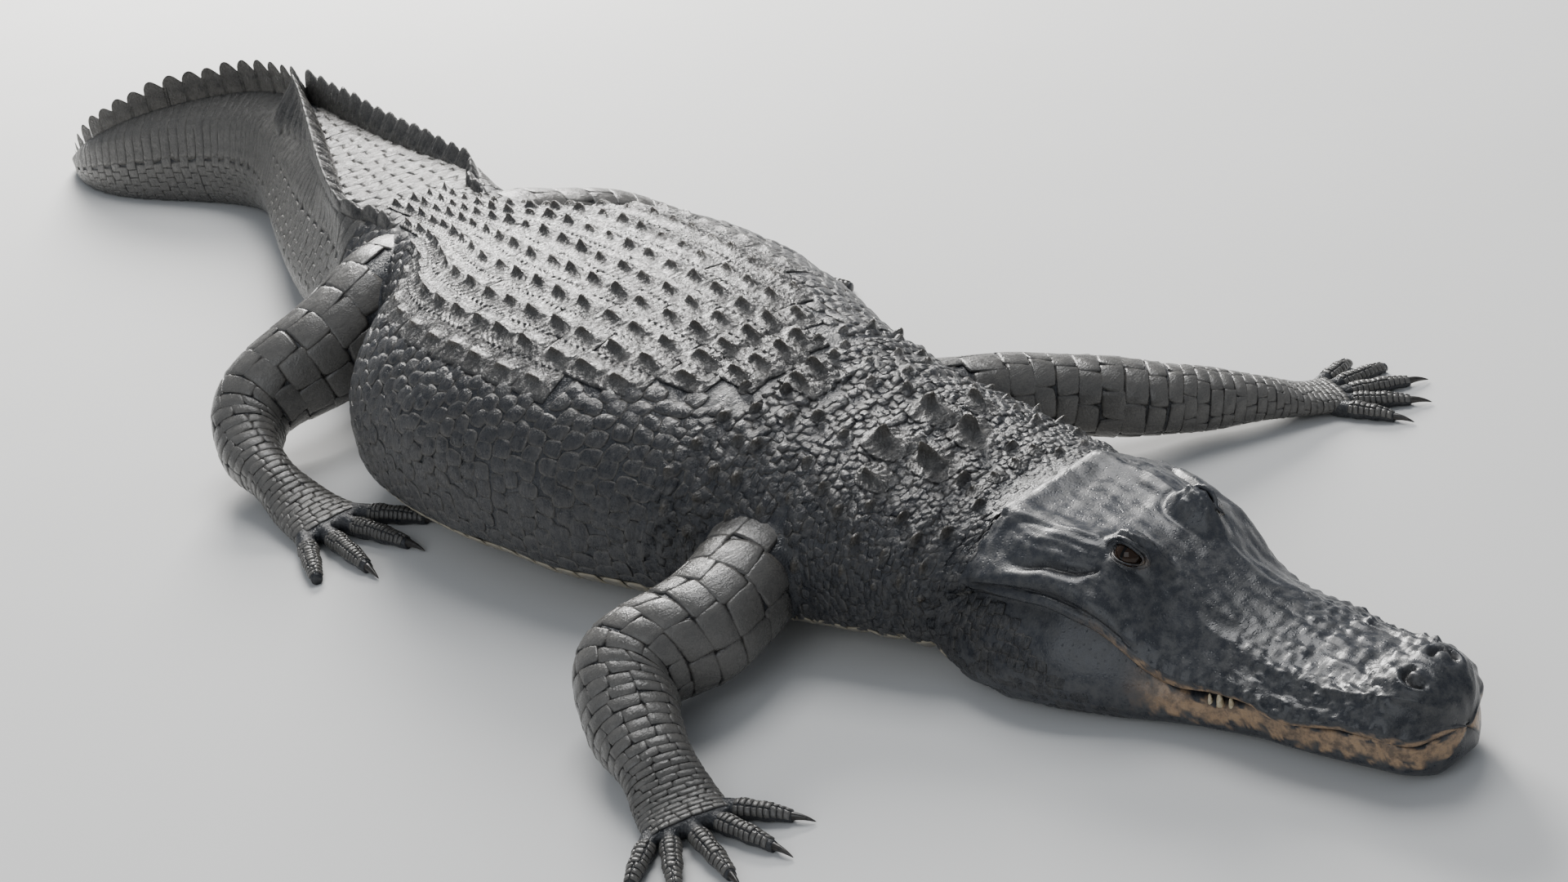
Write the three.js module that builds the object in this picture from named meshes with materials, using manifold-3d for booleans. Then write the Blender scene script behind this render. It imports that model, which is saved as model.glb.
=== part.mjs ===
import * as THREE from 'three';
import { mergeVertices } from 'three/addons/utils/BufferGeometryUtils.js';
import Module from 'manifold-3d';

// American alligator resting on its belly. Millimetres, +Z up, snout towards +X, left side towards +Y.
// Driving sizes. Distances s are measured backwards along the midline from the snout tip.
const GAP = 0.3;
const HEAD_END = 480;
const NECK_END = 760;
const CHEST_END = 1120;
const BELLY_END = 1420;
const PELVIS_END = 1720;
const TAIL_CUTS = [2020, 2320, 2620, 2920];
const TAIL_TIP = 3200;
const EYE = { s: 321, lat: 51, z: 147, radius: 15 };
const KEEL_ROWS = { first: 834, pitch: 48.5, count: 17, height: 15 };
const TAIL_WHORLS = { first: 1722, pitch: 44, joinAt: 2400 };
const CREST_TOP = 56;
const SOFT_TURN = 0.13;

// Heading of the midline in degrees.
const HEADING = [[0, 2.7], [440, 2.7], [620, 8.9], [740, 9.7], [860, 5.2], [1000, -0.9],
  [1250, -5.5], [1450, -8.5], [1600, -10.8], [1750, -12.9], [2050, -15.4], [2250, -15.4],
  [2400, -9.8], [2500, -0.1], [2600, 13.6], [2700, 24.7], [2800, 27.5], [2900, 20.6], [3000, 7.5],
  [3100, -7.8], [3200, -20]];
// Trunk and tail: half width, top of the back, height of the widest place.
const HALF_WIDTH = [[460, 156], [560, 174], [700, 196], [834, 220], [980, 262], [1150, 290],
  [1260, 294], [1340, 276], [1400, 234], [1460, 186], [1520, 156], [1600, 146], [1700, 154],
  [1800, 166], [2000, 160], [2200, 140], [2400, 114], [2600, 86], [2750, 63], [2900, 42],
  [3030, 27], [3130, 15], [3200, 6]];
const TOP = [[460, 152], [560, 166], [700, 198], [834, 234], [1000, 260], [1150, 268],
  [1320, 266], [1460, 254], [1600, 238], [1750, 222], [2000, 210], [2200, 204], [2400, 200],
  [2550, 192], [2700, 176], [2800, 160], [2900, 136], [3000, 102], [3100, 60], [3200, 18]];
const WIDEST = [[460, 66], [700, 74], [834, 86], [1150, 100], [1400, 100], [1650, 92], [1900, 70],
  [2400, 60], [2700, 46], [2950, 26], [3200, 8]];
const UNDERSIDE = [[460, 6], [600, 14], [720, 6], [800, -6], [1500, -6], [1620, -2], [1760, 4],
  [1900, -3], [3100, -3], [3200, 0]];
// Crest rows of the tail: distance from the midline and height of the blades.
const CREST_LAT = [[1480, 122], [1600, 116], [1740, 104], [1880, 88], [2060, 62], [2240, 34],
  [2400, 9]];
const CREST_HEIGHT = [[1480, 13], [1740, 22], [1900, 30], [2150, 42], [2400, 54],
  [2550, CREST_TOP], [2800, 50], [2950, 40], [3100, 24], [3200, 8]];
// Head: midline top, canthus and table edge, lip margin, jowl.
const HEAD_TOP = [[0, 66], [8, 80], [22, 92], [42, 97], [62, 93], [95, 86], [130, 86], [170, 90],
  [210, 98], [250, 112], [285, 131], [326, 146], [370, 154], [440, 163], [462, 165], [480, 155]];
const EDGE_LAT = [[0, 9], [8, 26], [22, 40], [42, 48], [90, 54], [160, 54], [240, 51], [290, 47],
  [326, 50], [370, 60], [430, 70], [462, 73], [480, 72]];
const EDGE_Z = [[0, 65], [8, 78], [22, 88], [42, 91], [70, 86], [110, 80], [170, 84], [230, 96],
  [270, 114], [300, 146], [326, 163], [356, 158], [400, 160], [462, 167], [480, 153]];
const LIP_LAT = [[0, 12], [8, 38], [22, 57], [42, 68], [62, 72], [78, 73], [100, 80], [135, 87],
  [170, 89], [205, 90], [250, 97], [300, 107], [350, 115], [400, 124], [440, 130], [480, 131]];
const LIP_Z = [[0, 55], [16, 46], [50, 53], [90, 51], [138, 47], [170, 56], [205, 54], [240, 50],
  [270, 58], [290, 72], [310, 86], [340, 100], [380, 110], [430, 110], [480, 100]];
const JAW_LAT = [[4, 20], [12, 40], [30, 56], [60, 64], [100, 72], [160, 80], [220, 92],
  [270, 110], [320, 134], [370, 154], [420, 162], [460, 160], [480, 157]];
const GAPE = [[4, 3], [160, 3], [188, 8], [205, 12], [225, 8], [260, 2], [300, 0.6], [480, 0.6]];

/** Monotone cubic through [key, value] stations. */
function curve(stations) {
  const n = stations.length;
  const x = stations.map((p) => p[0]);
  const y = stations.map((p) => p[1]);
  const slope = [];
  for (let i = 0; i < n - 1; i += 1) slope.push((y[i + 1] - y[i]) / (x[i + 1] - x[i]));
  const m = [slope[0]];
  for (let i = 1; i < n - 1; i += 1) {
    const a = slope[i - 1];
    const b = slope[i];
    m.push(a * b <= 0 ? 0 : (3 * (x[i + 1] - x[i - 1])) / ((2 * x[i + 1] - x[i] - x[i - 1]) / a
      + (x[i + 1] + x[i] - 2 * x[i - 1]) / b));
  }
  m.push(slope[n - 2]);
  return (v) => {
    if (v <= x[0]) return y[0];
    if (v >= x[n - 1]) return y[n - 1];
    let i = 0;
    while (v > x[i + 1]) i += 1;
    const h = x[i + 1] - x[i];
    const t = (v - x[i]) / h;
    const t2 = t * t;
    const t3 = t2 * t;
    return (2 * t3 - 3 * t2 + 1) * y[i] + (t3 - 2 * t2 + t) * h * m[i] + (3 * t2 - 2 * t3) * y[i + 1]
      + (t3 - t2) * h * m[i + 1];
  };
}

const heading = curve(HEADING);
const halfWidth = curve(HALF_WIDTH);
const top = curve(TOP);
const widest = curve(WIDEST);
const underside = curve(UNDERSIDE);
const crestLat = curve(CREST_LAT);
const crestHeight = curve(CREST_HEIGHT);

// Midline walked backwards from the snout tip in short steps.
const STEP = 5;
const spine = [[0, 0, THREE.MathUtils.degToRad(heading(0))]];
for (let s = STEP; s <= TAIL_TIP + 20; s += STEP) {
  const [px, py] = spine[spine.length - 1];
  const a = THREE.MathUtils.degToRad(heading(s - STEP / 2));
  spine.push([px - Math.cos(a) * STEP, py - Math.sin(a) * STEP, THREE.MathUtils.degToRad(heading(s))]);
}

/** World place of a point given along the midline, to the left of it and above the floor. */
function place(s, lat, z) {
  const k = Math.max(0, s) / STEP;
  const i = Math.min(Math.floor(k), spine.length - 2);
  const f = k - i;
  const a = spine[i][2] * (1 - f) + spine[i + 1][2] * f;
  const x = spine[i][0] * (1 - f) + spine[i + 1][0] * f;
  const y = spine[i][1] * (1 - f) + spine[i + 1][1] * f;
  return new THREE.Vector3(x - Math.sin(a) * lat + (s < 0 ? -s * Math.cos(a) : 0),
    y + Math.cos(a) * lat + (s < 0 ? -s * Math.sin(a) : 0), Math.max(z, 0));
}

/** Closed solid through equal rings of points, each end shut by a fan. */
function loft(rings) {
  const n = rings[0].length;
  const pos = [];
  rings.forEach((ring) => ring.forEach((p) => pos.push(p.x, p.y, p.z)));
  const index = [];
  for (let r = 0; r < rings.length - 1; r += 1) {
    for (let j = 0; j < n; j += 1) {
      const a = r * n + j;
      const b = r * n + ((j + 1) % n);
      index.push(a, b, a + n, b, b + n, a + n);
    }
  }
  [[0, true], [rings.length - 1, false]].forEach(([r, flip]) => {
    const c = rings[r].reduce((sum, p) => sum.add(p), new THREE.Vector3()).multiplyScalar(1 / n);
    const ci = pos.length / 3;
    pos.push(c.x, c.y, c.z);
    for (let j = 0; j < n; j += 1) {
      const a = r * n + j;
      const b = r * n + ((j + 1) % n);
      if (flip) index.push(ci, b, a);
      else index.push(ci, a, b);
    }
  });
  return solidFrom(pos, index);
}

/** Indexed geometry turned the right way out. */
function solidFrom(pos, index) {
  let volume = 0;
  const a = new THREE.Vector3();
  const b = new THREE.Vector3();
  const c = new THREE.Vector3();
  for (let i = 0; i < index.length; i += 3) {
    a.fromArray(pos, index[i] * 3);
    b.fromArray(pos, index[i + 1] * 3);
    c.fromArray(pos, index[i + 2] * 3);
    volume += a.dot(b.cross(c));
  }
  if (volume < 0) {
    for (let i = 0; i < index.length; i += 3) [index[i], index[i + 1]] = [index[i + 1], index[i]];
  }
  const geometry = new THREE.BufferGeometry();
  geometry.setAttribute('position', new THREE.Float32BufferAttribute(pos, 3));
  geometry.setIndex(index);
  return geometry;
}

const wasm = await Module();
wasm.setup();

function toManifold(geometry) {
  const g = geometry.clone();
  g.deleteAttribute('normal');
  g.deleteAttribute('uv');
  const m = mergeVertices(g, 1e-4);
  return new wasm.Manifold(new wasm.Mesh({
    numProp: 3,
    vertProperties: new Float32Array(m.attributes.position.array),
    triVerts: new Uint32Array(m.index.array),
  }));
}

function fromManifold(manifold) {
  const mesh = manifold.getMesh();
  const g = new THREE.BufferGeometry();
  g.setAttribute('position', new THREE.Float32BufferAttribute(mesh.vertProperties, 3));
  g.setIndex(new THREE.Uint32BufferAttribute(mesh.triVerts, 1));
  return g;
}

const merge = (how) => (first, ...more) => (
  fromManifold(more.reduce((m, g) => m[how](toManifold(g)), toManifold(first)))
);
const join = merge('add');
const cut = merge('subtract');

/** Height of the upper skin of the trunk at a sideways fraction of the half width. */
function backZ(s, f) {
  return widest(s) + (top(s) - widest(s)) * (1 - Math.abs(f) ** 2.5) ** (1 / 2.3);
}
function bellyZ(s, f) {
  return widest(s) - (widest(s) - underside(s)) * (1 - Math.abs(f) ** 3) ** (1 / 2.6);
}

const KEEL_FRACTIONS = [0.07, 0.215, 0.36, 0.505];
const UPPER_FRACTIONS = [0.14, 0.215, 0.29, 0.36, 0.43, 0.505, 0.62, 0.86];
const LOWER_FRACTIONS = [0.9, 0.43];

/** One ring round the trunk; lift raises the keel columns. */
function trunkRing(s, lift, grow = 0) {
  const w = halfWidth(s) + grow;
  const rows = s < 860 ? 2 : s < 930 ? 3 : s > 1640 ? 2 : s > 1540 ? 3 : 4;
  const side = (sign) => {
    const upper = [0.07, ...UPPER_FRACTIONS].map((f) => {
      const k = KEEL_FRACTIONS.indexOf(f);
      const raise = k >= 0 && k < rows ? lift : 0;
      return place(s, sign * f * w, backZ(s, f) + raise + grow);
    });
    const lower = LOWER_FRACTIONS.map((f) => place(s, sign * f * w, bellyZ(s, f) - grow));
    return [...upper, place(s, sign * w, widest(s)), ...lower];
  };
  const left = side(1);
  const right = side(-1).reverse();
  return [place(s, 0, backZ(s, 0) + grow), ...left, place(s, 0, underside(s) - grow), ...right];
}

/** Rings of a stretch of trunk with a steep rear and a gentle front on every keel. */
function trunkRings(from, to, grow = 0) {
  const at = new Map([[from, 0], [to, 0]]);
  for (let k = 0; k < KEEL_ROWS.count + 2; k += 1) {
    const tip = KEEL_ROWS.first + k * KEEL_ROWS.pitch;
    const h = KEEL_ROWS.height * (tip > BELLY_END + 130 ? 0.8 : 1);
    [[tip, h], [tip + 10, 0]].forEach(([s, lift]) => {
      if (s > from + 4 && s < to - 4) at.set(s, lift);
    });
  }
  return [...at.entries()].sort((a, b) => a[0] - b[0]).map(([s, lift]) => trunkRing(s, lift, grow));
}

/** One ring round the neck. */
function neckRing(s, grow = 0) {
  const w = halfWidth(s) + grow;
  const upper = [0.18, 0.38, 0.58, 0.77, 0.93];
  const side = (sign) => [
    ...upper.map((f) => place(s, sign * f * w, backZ(s, f) + grow)),
    place(s, sign * w, widest(s)),
    ...LOWER_FRACTIONS.map((f) => place(s, sign * f * w, bellyZ(s, f) - grow)),
  ];
  const crown = place(s, 0, backZ(s, 0) + grow);
  return [crown, ...side(1), place(s, 0, underside(s) - grow), ...side(-1).reverse()];
}

/** One ring round the tail: flat top between two crests, then one crest on the midline. */
function tailRing(s, lift, grow = 0) {
  const w = halfWidth(s) + grow;
  const t = top(s) + grow;
  const u = underside(s) - grow;
  const single = s > TAIL_WHORLS.joinAt;
  const c = single ? 0 : crestLat(s);
  const body = (f) => f * w;
  const side = (sign) => {
    const shoulder = single ? 3.5 : Math.min(c + 7, w);
    return [
      place(s, sign * (single ? 1.5 : c), t + (single ? lift * 0.55 : lift)),
      place(s, sign * shoulder, t - 1),
      place(s, sign * Math.max(body(0.74), Math.min(c + 9, w * 0.97)), t * 0.7),
      place(s, sign * body(0.99), t * 0.36),
      place(s, sign * body(0.93), t * 0.12),
      place(s, sign * body(0.6), u + t * 0.01),
    ];
  };
  return [place(s, 0, single ? t + lift : t + 2), ...side(1), place(s, 0, u), ...side(-1).reverse()];
}

function tailRings(from, to, grow = 0) {
  const at = new Map([[from, 1], [to, 1]]);
  for (let tip = TAIL_WHORLS.first; tip < TAIL_TIP - 12; tip += TAIL_WHORLS.pitch) {
    [[tip, crestHeight(tip)], [tip + 9, crestHeight(tip) * 0.3]].forEach(([s, lift]) => {
      if (s > from + 4 && s < to - 4) at.set(s, lift);
    });
  }
  return [...at.entries()].sort((a, b) => a[0] - b[0]).map(([s, lift]) => tailRing(s, lift, grow));
}

const headTop = curve(HEAD_TOP);
const edgeLat = curve(EDGE_LAT);
const edgeZ = curve(EDGE_Z);
const lipLat = curve(LIP_LAT);
const lipZ = curve(LIP_Z);
const jawLat = curve(JAW_LAT);
const gape = curve(GAPE);

/** Ring of the upper head: crown, table edge, cheek, lip margin and palate. */
function upperHeadRing(s) {
  const side = (sign) => {
    const w = lipLat(s);
    const e = edgeLat(s);
    const zl = lipZ(s);
    const ze = edgeZ(s);
    return [
      place(s, sign * e * 0.42, headTop(s) + (ze - headTop(s)) * 0.12),
      place(s, sign * e * 0.8, headTop(s) + (ze - headTop(s)) * 0.72),
      place(s, sign * e, ze - 1),
      place(s, sign * (e + (w - e) * 0.2), ze - (ze - zl) * 0.16),
      place(s, sign * (e + (w - e) * 0.52), ze - (ze - zl) * 0.38),
      place(s, sign * (e + (w - e) * 0.86), ze - (ze - zl) * 0.62),
      place(s, sign * w, zl + (ze - zl) * 0.2),
      place(s, sign * (w - 1), zl + 2),
      place(s, sign * (w - 7), zl),
    ];
  };
  return [place(s, 0, headTop(s)), ...side(1), place(s, 0, lipZ(s) + 1), ...side(-1).reverse()];
}

/** Ring of the lower jaw: its upper edge follows the lip line, its jowl swells out low down. */
function lowerJawRing(s) {
  const side = (sign) => {
    const w = jawLat(s);
    const zt = lipZ(s) - Math.max(gape(s), GAP);
    const inset = Math.min(w, lipLat(s) - 5);
    const low = s < 110 ? 7 : s < 240 ? 4 : -3;
    return [
      place(s, sign * (inset - 3), zt),
      place(s, sign * inset, zt - 3),
      place(s, sign * (inset + (w - inset) * 0.7), zt * 0.68 + low * 0.3),
      place(s, sign * w, zt * 0.4 + low * 0.4),
      place(s, sign * w * 0.93, zt * 0.13 + low),
      place(s, sign * w * 0.72, low),
    ];
  };
  const low = s < 110 ? 7 : s < 240 ? 4 : -3;
  const roof = place(s, 0, lipZ(s) - Math.max(gape(s), GAP));
  return [roof, ...side(1), place(s, 0, low), ...side(-1).reverse()];
}

/** Small pointed solid standing on a base ring. */
function spike(base, tip, radius, sides, flatten = 1) {
  const axis = tip.clone().sub(base).normalize();
  const ref = Math.abs(axis.z) > 0.9 ? new THREE.Vector3(1, 0, 0) : new THREE.Vector3(0, 0, 1);
  const u = ref.clone().cross(axis).normalize();
  const v = axis.clone().cross(u);
  const ring = (c, r) => Array.from({ length: sides }, (_, i) => {
    const t = (i / sides) * Math.PI * 2;
    return c.clone().addScaledVector(u, Math.cos(t) * r * flatten).addScaledVector(v, Math.sin(t) * r);
  });
  return loft([ring(base, radius), ring(tip, radius * 0.16)]);
}

/** Smooth limb along a few joints; each joint gives a place, a half breadth and a half height. */
function limbRings(joints, count, sides) {
  const knots = joints.map((j) => new THREE.Vector3(...j.at));
  const path = new THREE.CatmullRomCurve3(knots, false, 'centripetal');
  const keys = joints.map((j, i) => i / (joints.length - 1));
  const across = curve(joints.map((j, i) => [keys[i], j.across]));
  const tall = curve(joints.map((j, i) => [keys[i], j.tall]));
  const rings = [];
  for (let i = 0; i <= count; i += 1) {
    const t = i / count;
    const c = path.getPoint(t);
    const behind = path.getPoint(Math.max(0, t - SOFT_TURN));
    const dir = path.getPoint(Math.min(1, t + SOFT_TURN)).sub(behind).normalize();
    const sideways = new THREE.Vector3(0, 0, 1).cross(dir).normalize();
    const up = dir.clone().cross(sideways);
    rings.push(Array.from({ length: sides }, (_, j) => {
      const a = ((j + 0.5) / sides) * Math.PI * 2;
      const ca = Math.cos(a);
      const sa = Math.sin(a);
      const p = c.clone()
        .addScaledVector(sideways, Math.sign(ca) * Math.abs(ca) ** 0.85 * across(t))
        .addScaledVector(up, Math.sign(sa) * Math.abs(sa) ** 0.85 * tall(t));
      p.z = Math.max(p.z, 0);
      return p;
    }));
  }
  return rings;
}

/** Piece of a limb between two ring numbers, drawn back by half the gap at each cut. */
function limbPiece(rings, from, to, openStart, openEnd) {
  const part = rings.slice(from, to + 1).map((ring) => ring.map((p) => p.clone()));
  const back = (ring, next, amount) => {
    const dir = centre(next).sub(centre(ring)).normalize();
    ring.forEach((p) => p.addScaledVector(dir, amount));
    ring.forEach((p) => { p.z = Math.max(p.z, 0); });
  };
  if (openStart) back(part[0], part[1], GAP / 2);
  if (openEnd) back(part[part.length - 1], part[part.length - 2], GAP / 2);
  return loft(part);
}

function centre(ring) {
  return ring.reduce((sum, p) => sum.add(p), new THREE.Vector3()).multiplyScalar(1 / ring.length);
}

// Finishes read from the animal: slate hide, blacker limbs, dark horn, dark eye.
const MATERIALS = {
  hide: new THREE.MeshStandardMaterial({ color: 0x4a4b50, roughness: 0.62, metalness: 0 }),
  head_hide: new THREE.MeshStandardMaterial({ color: 0x434750, roughness: 0.5, metalness: 0 }),
  limb_hide: new THREE.MeshStandardMaterial({ color: 0x3d3e43, roughness: 0.6, metalness: 0 }),
  eye: new THREE.MeshStandardMaterial({ color: 0x1c1510, roughness: 0.08, metalness: 0 }),
  claw: new THREE.MeshStandardMaterial({ color: 0x1f1d1c, roughness: 0.4, metalness: 0 }),
};

const group = new THREE.Group();
group.name = 'american_alligator';
const body = new THREE.Group();
body.name = 'body';
group.add(body);

function addNode(name, geometry, material) {
  const g = geometry.index ? geometry.toNonIndexed() : geometry;
  g.computeVertexNormals();
  const mesh = new THREE.Mesh(g, MATERIALS[material]);
  mesh.name = name;
  body.add(mesh);
}

const range = (from, to, step) => {
  const n = Math.max(1, Math.round((to - from) / step));
  return Array.from({ length: n + 1 }, (_, i) => from + ((to - from) * i) / n);
};

// Head.
const upperStations = [0, 4, 12, 26, 44, 66, 92, 124, 160, 190, 216, 244, 268, 289, 308, 326, 346, 374,
  412, 446, 465, HEAD_END - GAP / 2];
const eyeBall = (sign, r, across, down) => {
  const g = new THREE.SphereGeometry(r, across, down);
  g.deleteAttribute('normal');
  g.deleteAttribute('uv');
  const m = mergeVertices(g, 1e-4);
  const p = place(EYE.s, sign * EYE.lat, EYE.z);
  m.translate(p.x, p.y, p.z);
  return m;
};
let upper = loft(upperStations.map(upperHeadRing));
upper = cut(upper, eyeBall(1, EYE.radius + GAP, 10, 6), eyeBall(-1, EYE.radius + GAP, 10, 6));
addNode('head_upper', upper, 'head_hide');
const jawStations = [4, ...upperStations.filter((v) => v >= 12)];
let jaw = loft(jawStations.map(lowerJawRing));
[1, -1].forEach((sign) => [192, 203, 214].forEach((s, i) => {
  const lat = sign * (lipLat(s) - 9);
  const foot = place(s, lat, lipZ(s) - gape(s) - 2.5);
  jaw = join(jaw, spike(foot, place(s, lat, lipZ(s) - GAP - 1.2), 3.6 - i * 0.3, 5));
}));
addNode('lower_jaw', jaw, 'head_hide');
addNode('eye_right', eyeBall(-1, EYE.radius, 10, 6), 'eye');
addNode('eye_left', eyeBall(1, EYE.radius, 10, 6), 'eye');

// Neck with its cluster of raised keeled shields.
const NECK_SHIELDS = [[590, 32, 22], [590, -36, 22], [646, 38, 22], [646, -38, 22], [628, 86, 14],
  [628, -88, 14]];
let neck = loft(range(HEAD_END + GAP / 2, NECK_END - GAP / 2, 46).map((s) => neckRing(s)));
NECK_SHIELDS.forEach(([s, lat, h]) => {
  const z = backZ(s, lat / halfWidth(s));
  neck = join(neck, spike(place(s, lat, z - 6), place(s + 10, lat, z + h), 20, 5, 0.6));
});
addNode('neck', neck, 'hide');

// Trunk in three lengths.
addNode('chest', loft(trunkRings(NECK_END + GAP / 2, CHEST_END - GAP / 2)), 'hide');
addNode('belly', loft(trunkRings(CHEST_END + GAP / 2, BELLY_END - GAP / 2)), 'hide');
addNode('pelvis', loft(trunkRings(BELLY_END + GAP / 2, PELVIS_END - GAP / 2)), 'hide');

// Tail in five lengths.
[PELVIS_END, ...TAIL_CUTS].forEach((from, i) => {
  const to = [...TAIL_CUTS, TAIL_TIP][i];
  addNode(`tail_${i + 1}`, loft(tailRings(from + GAP / 2, to - (i < 4 ? GAP / 2 : 0))), 'hide');
});

// Body shape a little larger than life, taken off the inner ends of the limbs.
const trimNeck = loft(range(HEAD_END, NECK_END, 46).map((s) => neckRing(s, GAP + 0.4)));
const trimTrunk = loft(trunkRings(NECK_END - 1, PELVIS_END + 1, GAP + 0.4));
const trimTail = loft(tailRings(PELVIS_END - 1, TAIL_CUTS[0], GAP + 0.4));
const trimBody = toManifold(trimTrunk).add(toManifold(trimNeck)).add(toManifold(trimTail));

function trimmed(geometry) {
  return fromManifold(toManifold(geometry).subtract(trimBody));
}

// Limbs. Places are in the same axes as the midline, before the whole is centred.
const LIMBS = [
  {
    names: ['upper_arm_right', 'forearm_right', 'hand_right', 'claw_hand_right'],
    joints: [
      { at: [-756, -120, 92], across: 62, tall: 60 },
      { at: [-700, -228, 90], across: 60, tall: 60 },
      { at: [-666, -328, 80], across: 57, tall: 58 },
      { at: [-682, -408, 66], across: 54, tall: 58 },
      { at: [-634, -444, 48], across: 50, tall: 46 },
      { at: [-568, -466, 30], across: 40, tall: 30 },
      { at: [-528, -478, 16], across: 42, tall: 17 },
      { at: [-486, -490, 11], across: 50, tall: 12 },
    ],
    cuts: [6, 10],
    toes: { turn: -12, spread: 21, lengths: [58, 74, 80, 70, 52], radius: 10 },
  },
  {
    names: ['upper_arm_left', 'forearm_left', 'hand_left', 'claw_hand_left'],
    joints: [
      { at: [-790, 50, 114], across: 54, tall: 60 },
      { at: [-744, 162, 96], across: 48, tall: 54 },
      { at: [-712, 232, 77], across: 44, tall: 48 },
      { at: [-662, 292, 60], across: 42, tall: 44 },
      { at: [-621, 349, 46], across: 39, tall: 36 },
      { at: [-582, 404, 31], across: 30, tall: 25 },
      { at: [-562, 446, 18], across: 34, tall: 16 },
      { at: [-544, 486, 11], across: 44, tall: 12 },
    ],
    cuts: [6, 10],
    toes: { turn: 60, spread: 21, lengths: [52, 70, 80, 76, 58], radius: 10 },
  },
  {
    names: ['thigh_right', 'shank_right', 'foot_right', 'claw_foot_right'],
    joints: [
      { at: [-1632, -20, 134], across: 70, tall: 84 },
      { at: [-1610, -120, 138], across: 72, tall: 84 },
      { at: [-1590, -240, 118], across: 61, tall: 69 },
      { at: [-1602, -345, 86], across: 50, tall: 56 },
      { at: [-1552, -386, 60], across: 42, tall: 42 },
      { at: [-1476, -398, 42], across: 32, tall: 31 },
      { at: [-1412, -397, 22], across: 40, tall: 21 },
      { at: [-1340, -392, 12], across: 56, tall: 13 },
    ],
    cuts: [6, 10],
    toes: { turn: 4, spread: 17, lengths: [86, 108, 112, 88], radius: 12 },
  },
  {
    names: ['thigh_left', 'shank_left', 'foot_left', 'claw_foot_left'],
    joints: [
      { at: [-1636, -30, 134], across: 70, tall: 84 },
      { at: [-1626, 72, 134], across: 72, tall: 82 },
      { at: [-1624, 182, 112], across: 58, tall: 66 },
      { at: [-1610, 270, 82], across: 50, tall: 55 },
      { at: [-1576, 316, 58], across: 42, tall: 42 },
      { at: [-1512, 326, 42], across: 32, tall: 31 },
      { at: [-1456, 326, 22], across: 40, tall: 21 },
      { at: [-1392, 322, 12], across: 56, tall: 13 },
    ],
    cuts: [6, 10],
    toes: { turn: 2, spread: 17, lengths: [86, 108, 112, 88], radius: 12 },
  },
];

LIMBS.forEach(({ names, joints, cuts, toes }) => {
  const count = 14;
  const rings = limbRings(joints, count, 9);
  const right = names[0].endsWith('right');
  addNode(names[0], trimmed(limbPiece(rings, 0, cuts[0], false, true)), 'limb_hide');
  addNode(names[1], limbPiece(rings, cuts[0], cuts[1], true, true), 'limb_hide');
  let hand = limbPiece(rings, cuts[1], count, true, false);
  const palm = new THREE.Vector3(...joints[joints.length - 1].at);
  const reach = joints[joints.length - 1].across;
  toes.lengths.forEach((length, i) => {
    // The first toe is the inner one.
    const rank = (i - (toes.lengths.length - 1) / 2) * (right ? -1 : 1);
    const aim = THREE.MathUtils.degToRad(toes.turn + rank * toes.spread);
    const dir = new THREE.Vector3(Math.cos(aim), Math.sin(aim), 0);
    const r = toes.radius;
    const across = new THREE.Vector3(-dir.y, dir.x, 0);
    const ahead = THREE.MathUtils.degToRad(toes.turn);
    const shift = rank * reach * (1.5 / toes.lengths.length);
    const start = palm.clone()
      .addScaledVector(new THREE.Vector3(Math.cos(ahead), Math.sin(ahead), 0), -reach * 0.45)
      .addScaledVector(new THREE.Vector3(-Math.sin(ahead), Math.cos(ahead), 0), shift);
    const toeRing = (d, k) => Array.from({ length: 5 }, (_, j) => {
      const t = ((j + 0.25) / 5) * Math.PI * 2;
      const p = start.clone().addScaledVector(dir, d).addScaledVector(across, Math.cos(t) * r * k);
      p.z = Math.max(0, r * k * 0.9 + Math.sin(t) * r * k);
      return p;
    });
    const end = length + reach * 0.45;
    const parts = [[0, 1.15], [end * 0.68, 1.02], [end, 0.62]];
    hand = join(hand, loft(parts.map(([d, k]) => toeRing(d, k))));
    if (i < 3) {
      const claw = (d, k, drop) => Array.from({ length: 5 }, (_, j) => {
        const t = ((j + 0.25) / 5) * Math.PI * 2;
        const p = start.clone().addScaledVector(dir, end + GAP + d)
          .addScaledVector(across, Math.cos(t) * r * k);
        p.z = Math.max(0, r * 0.56 - drop + Math.sin(t) * r * k);
        return p;
      });
      const size = r * 2.3;
      addNode(`${names[3]}_${i + 1}`, loft([claw(0, 0.5, 0), claw(size * 0.55, 0.38, 1),
        claw(size, 0.07, r * 0.42)]), 'claw');
    }
  });
  addNode(names[2], hand, 'limb_hide');
});

// Stand the whole over the middle of its own outline.
const box = new THREE.Box3().setFromObject(body);
body.position.set(-(box.min.x + box.max.x) / 2, -(box.min.y + box.max.y) / 2, -box.min.z);

export default group;
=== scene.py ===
"""Life-size still model of an american alligator lying on its belly, tail curved away.

The body is one skin. Over it lie the keeled back shields, flank scales, belly plates, tail crest
and banded limb plates as solid pieces, and the eyes, claws and teeth are pieces of their own.
Stations and sizes are millimetres along the midline from the snout tip; meshes are in metres.
"""
import logging
from collections.abc import Callable, Sequence
from dataclasses import dataclass
from enum import Enum
from math import asin, copysign, cos, pi, radians, sin, sqrt, tau

import bmesh
import bpy
import numpy as np
from bpy.types import Material, Mesh, Node, NodeSocket, NodeTree, Object
from mathutils import Matrix, Vector
from mathutils.kdtree import KDTree


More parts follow.
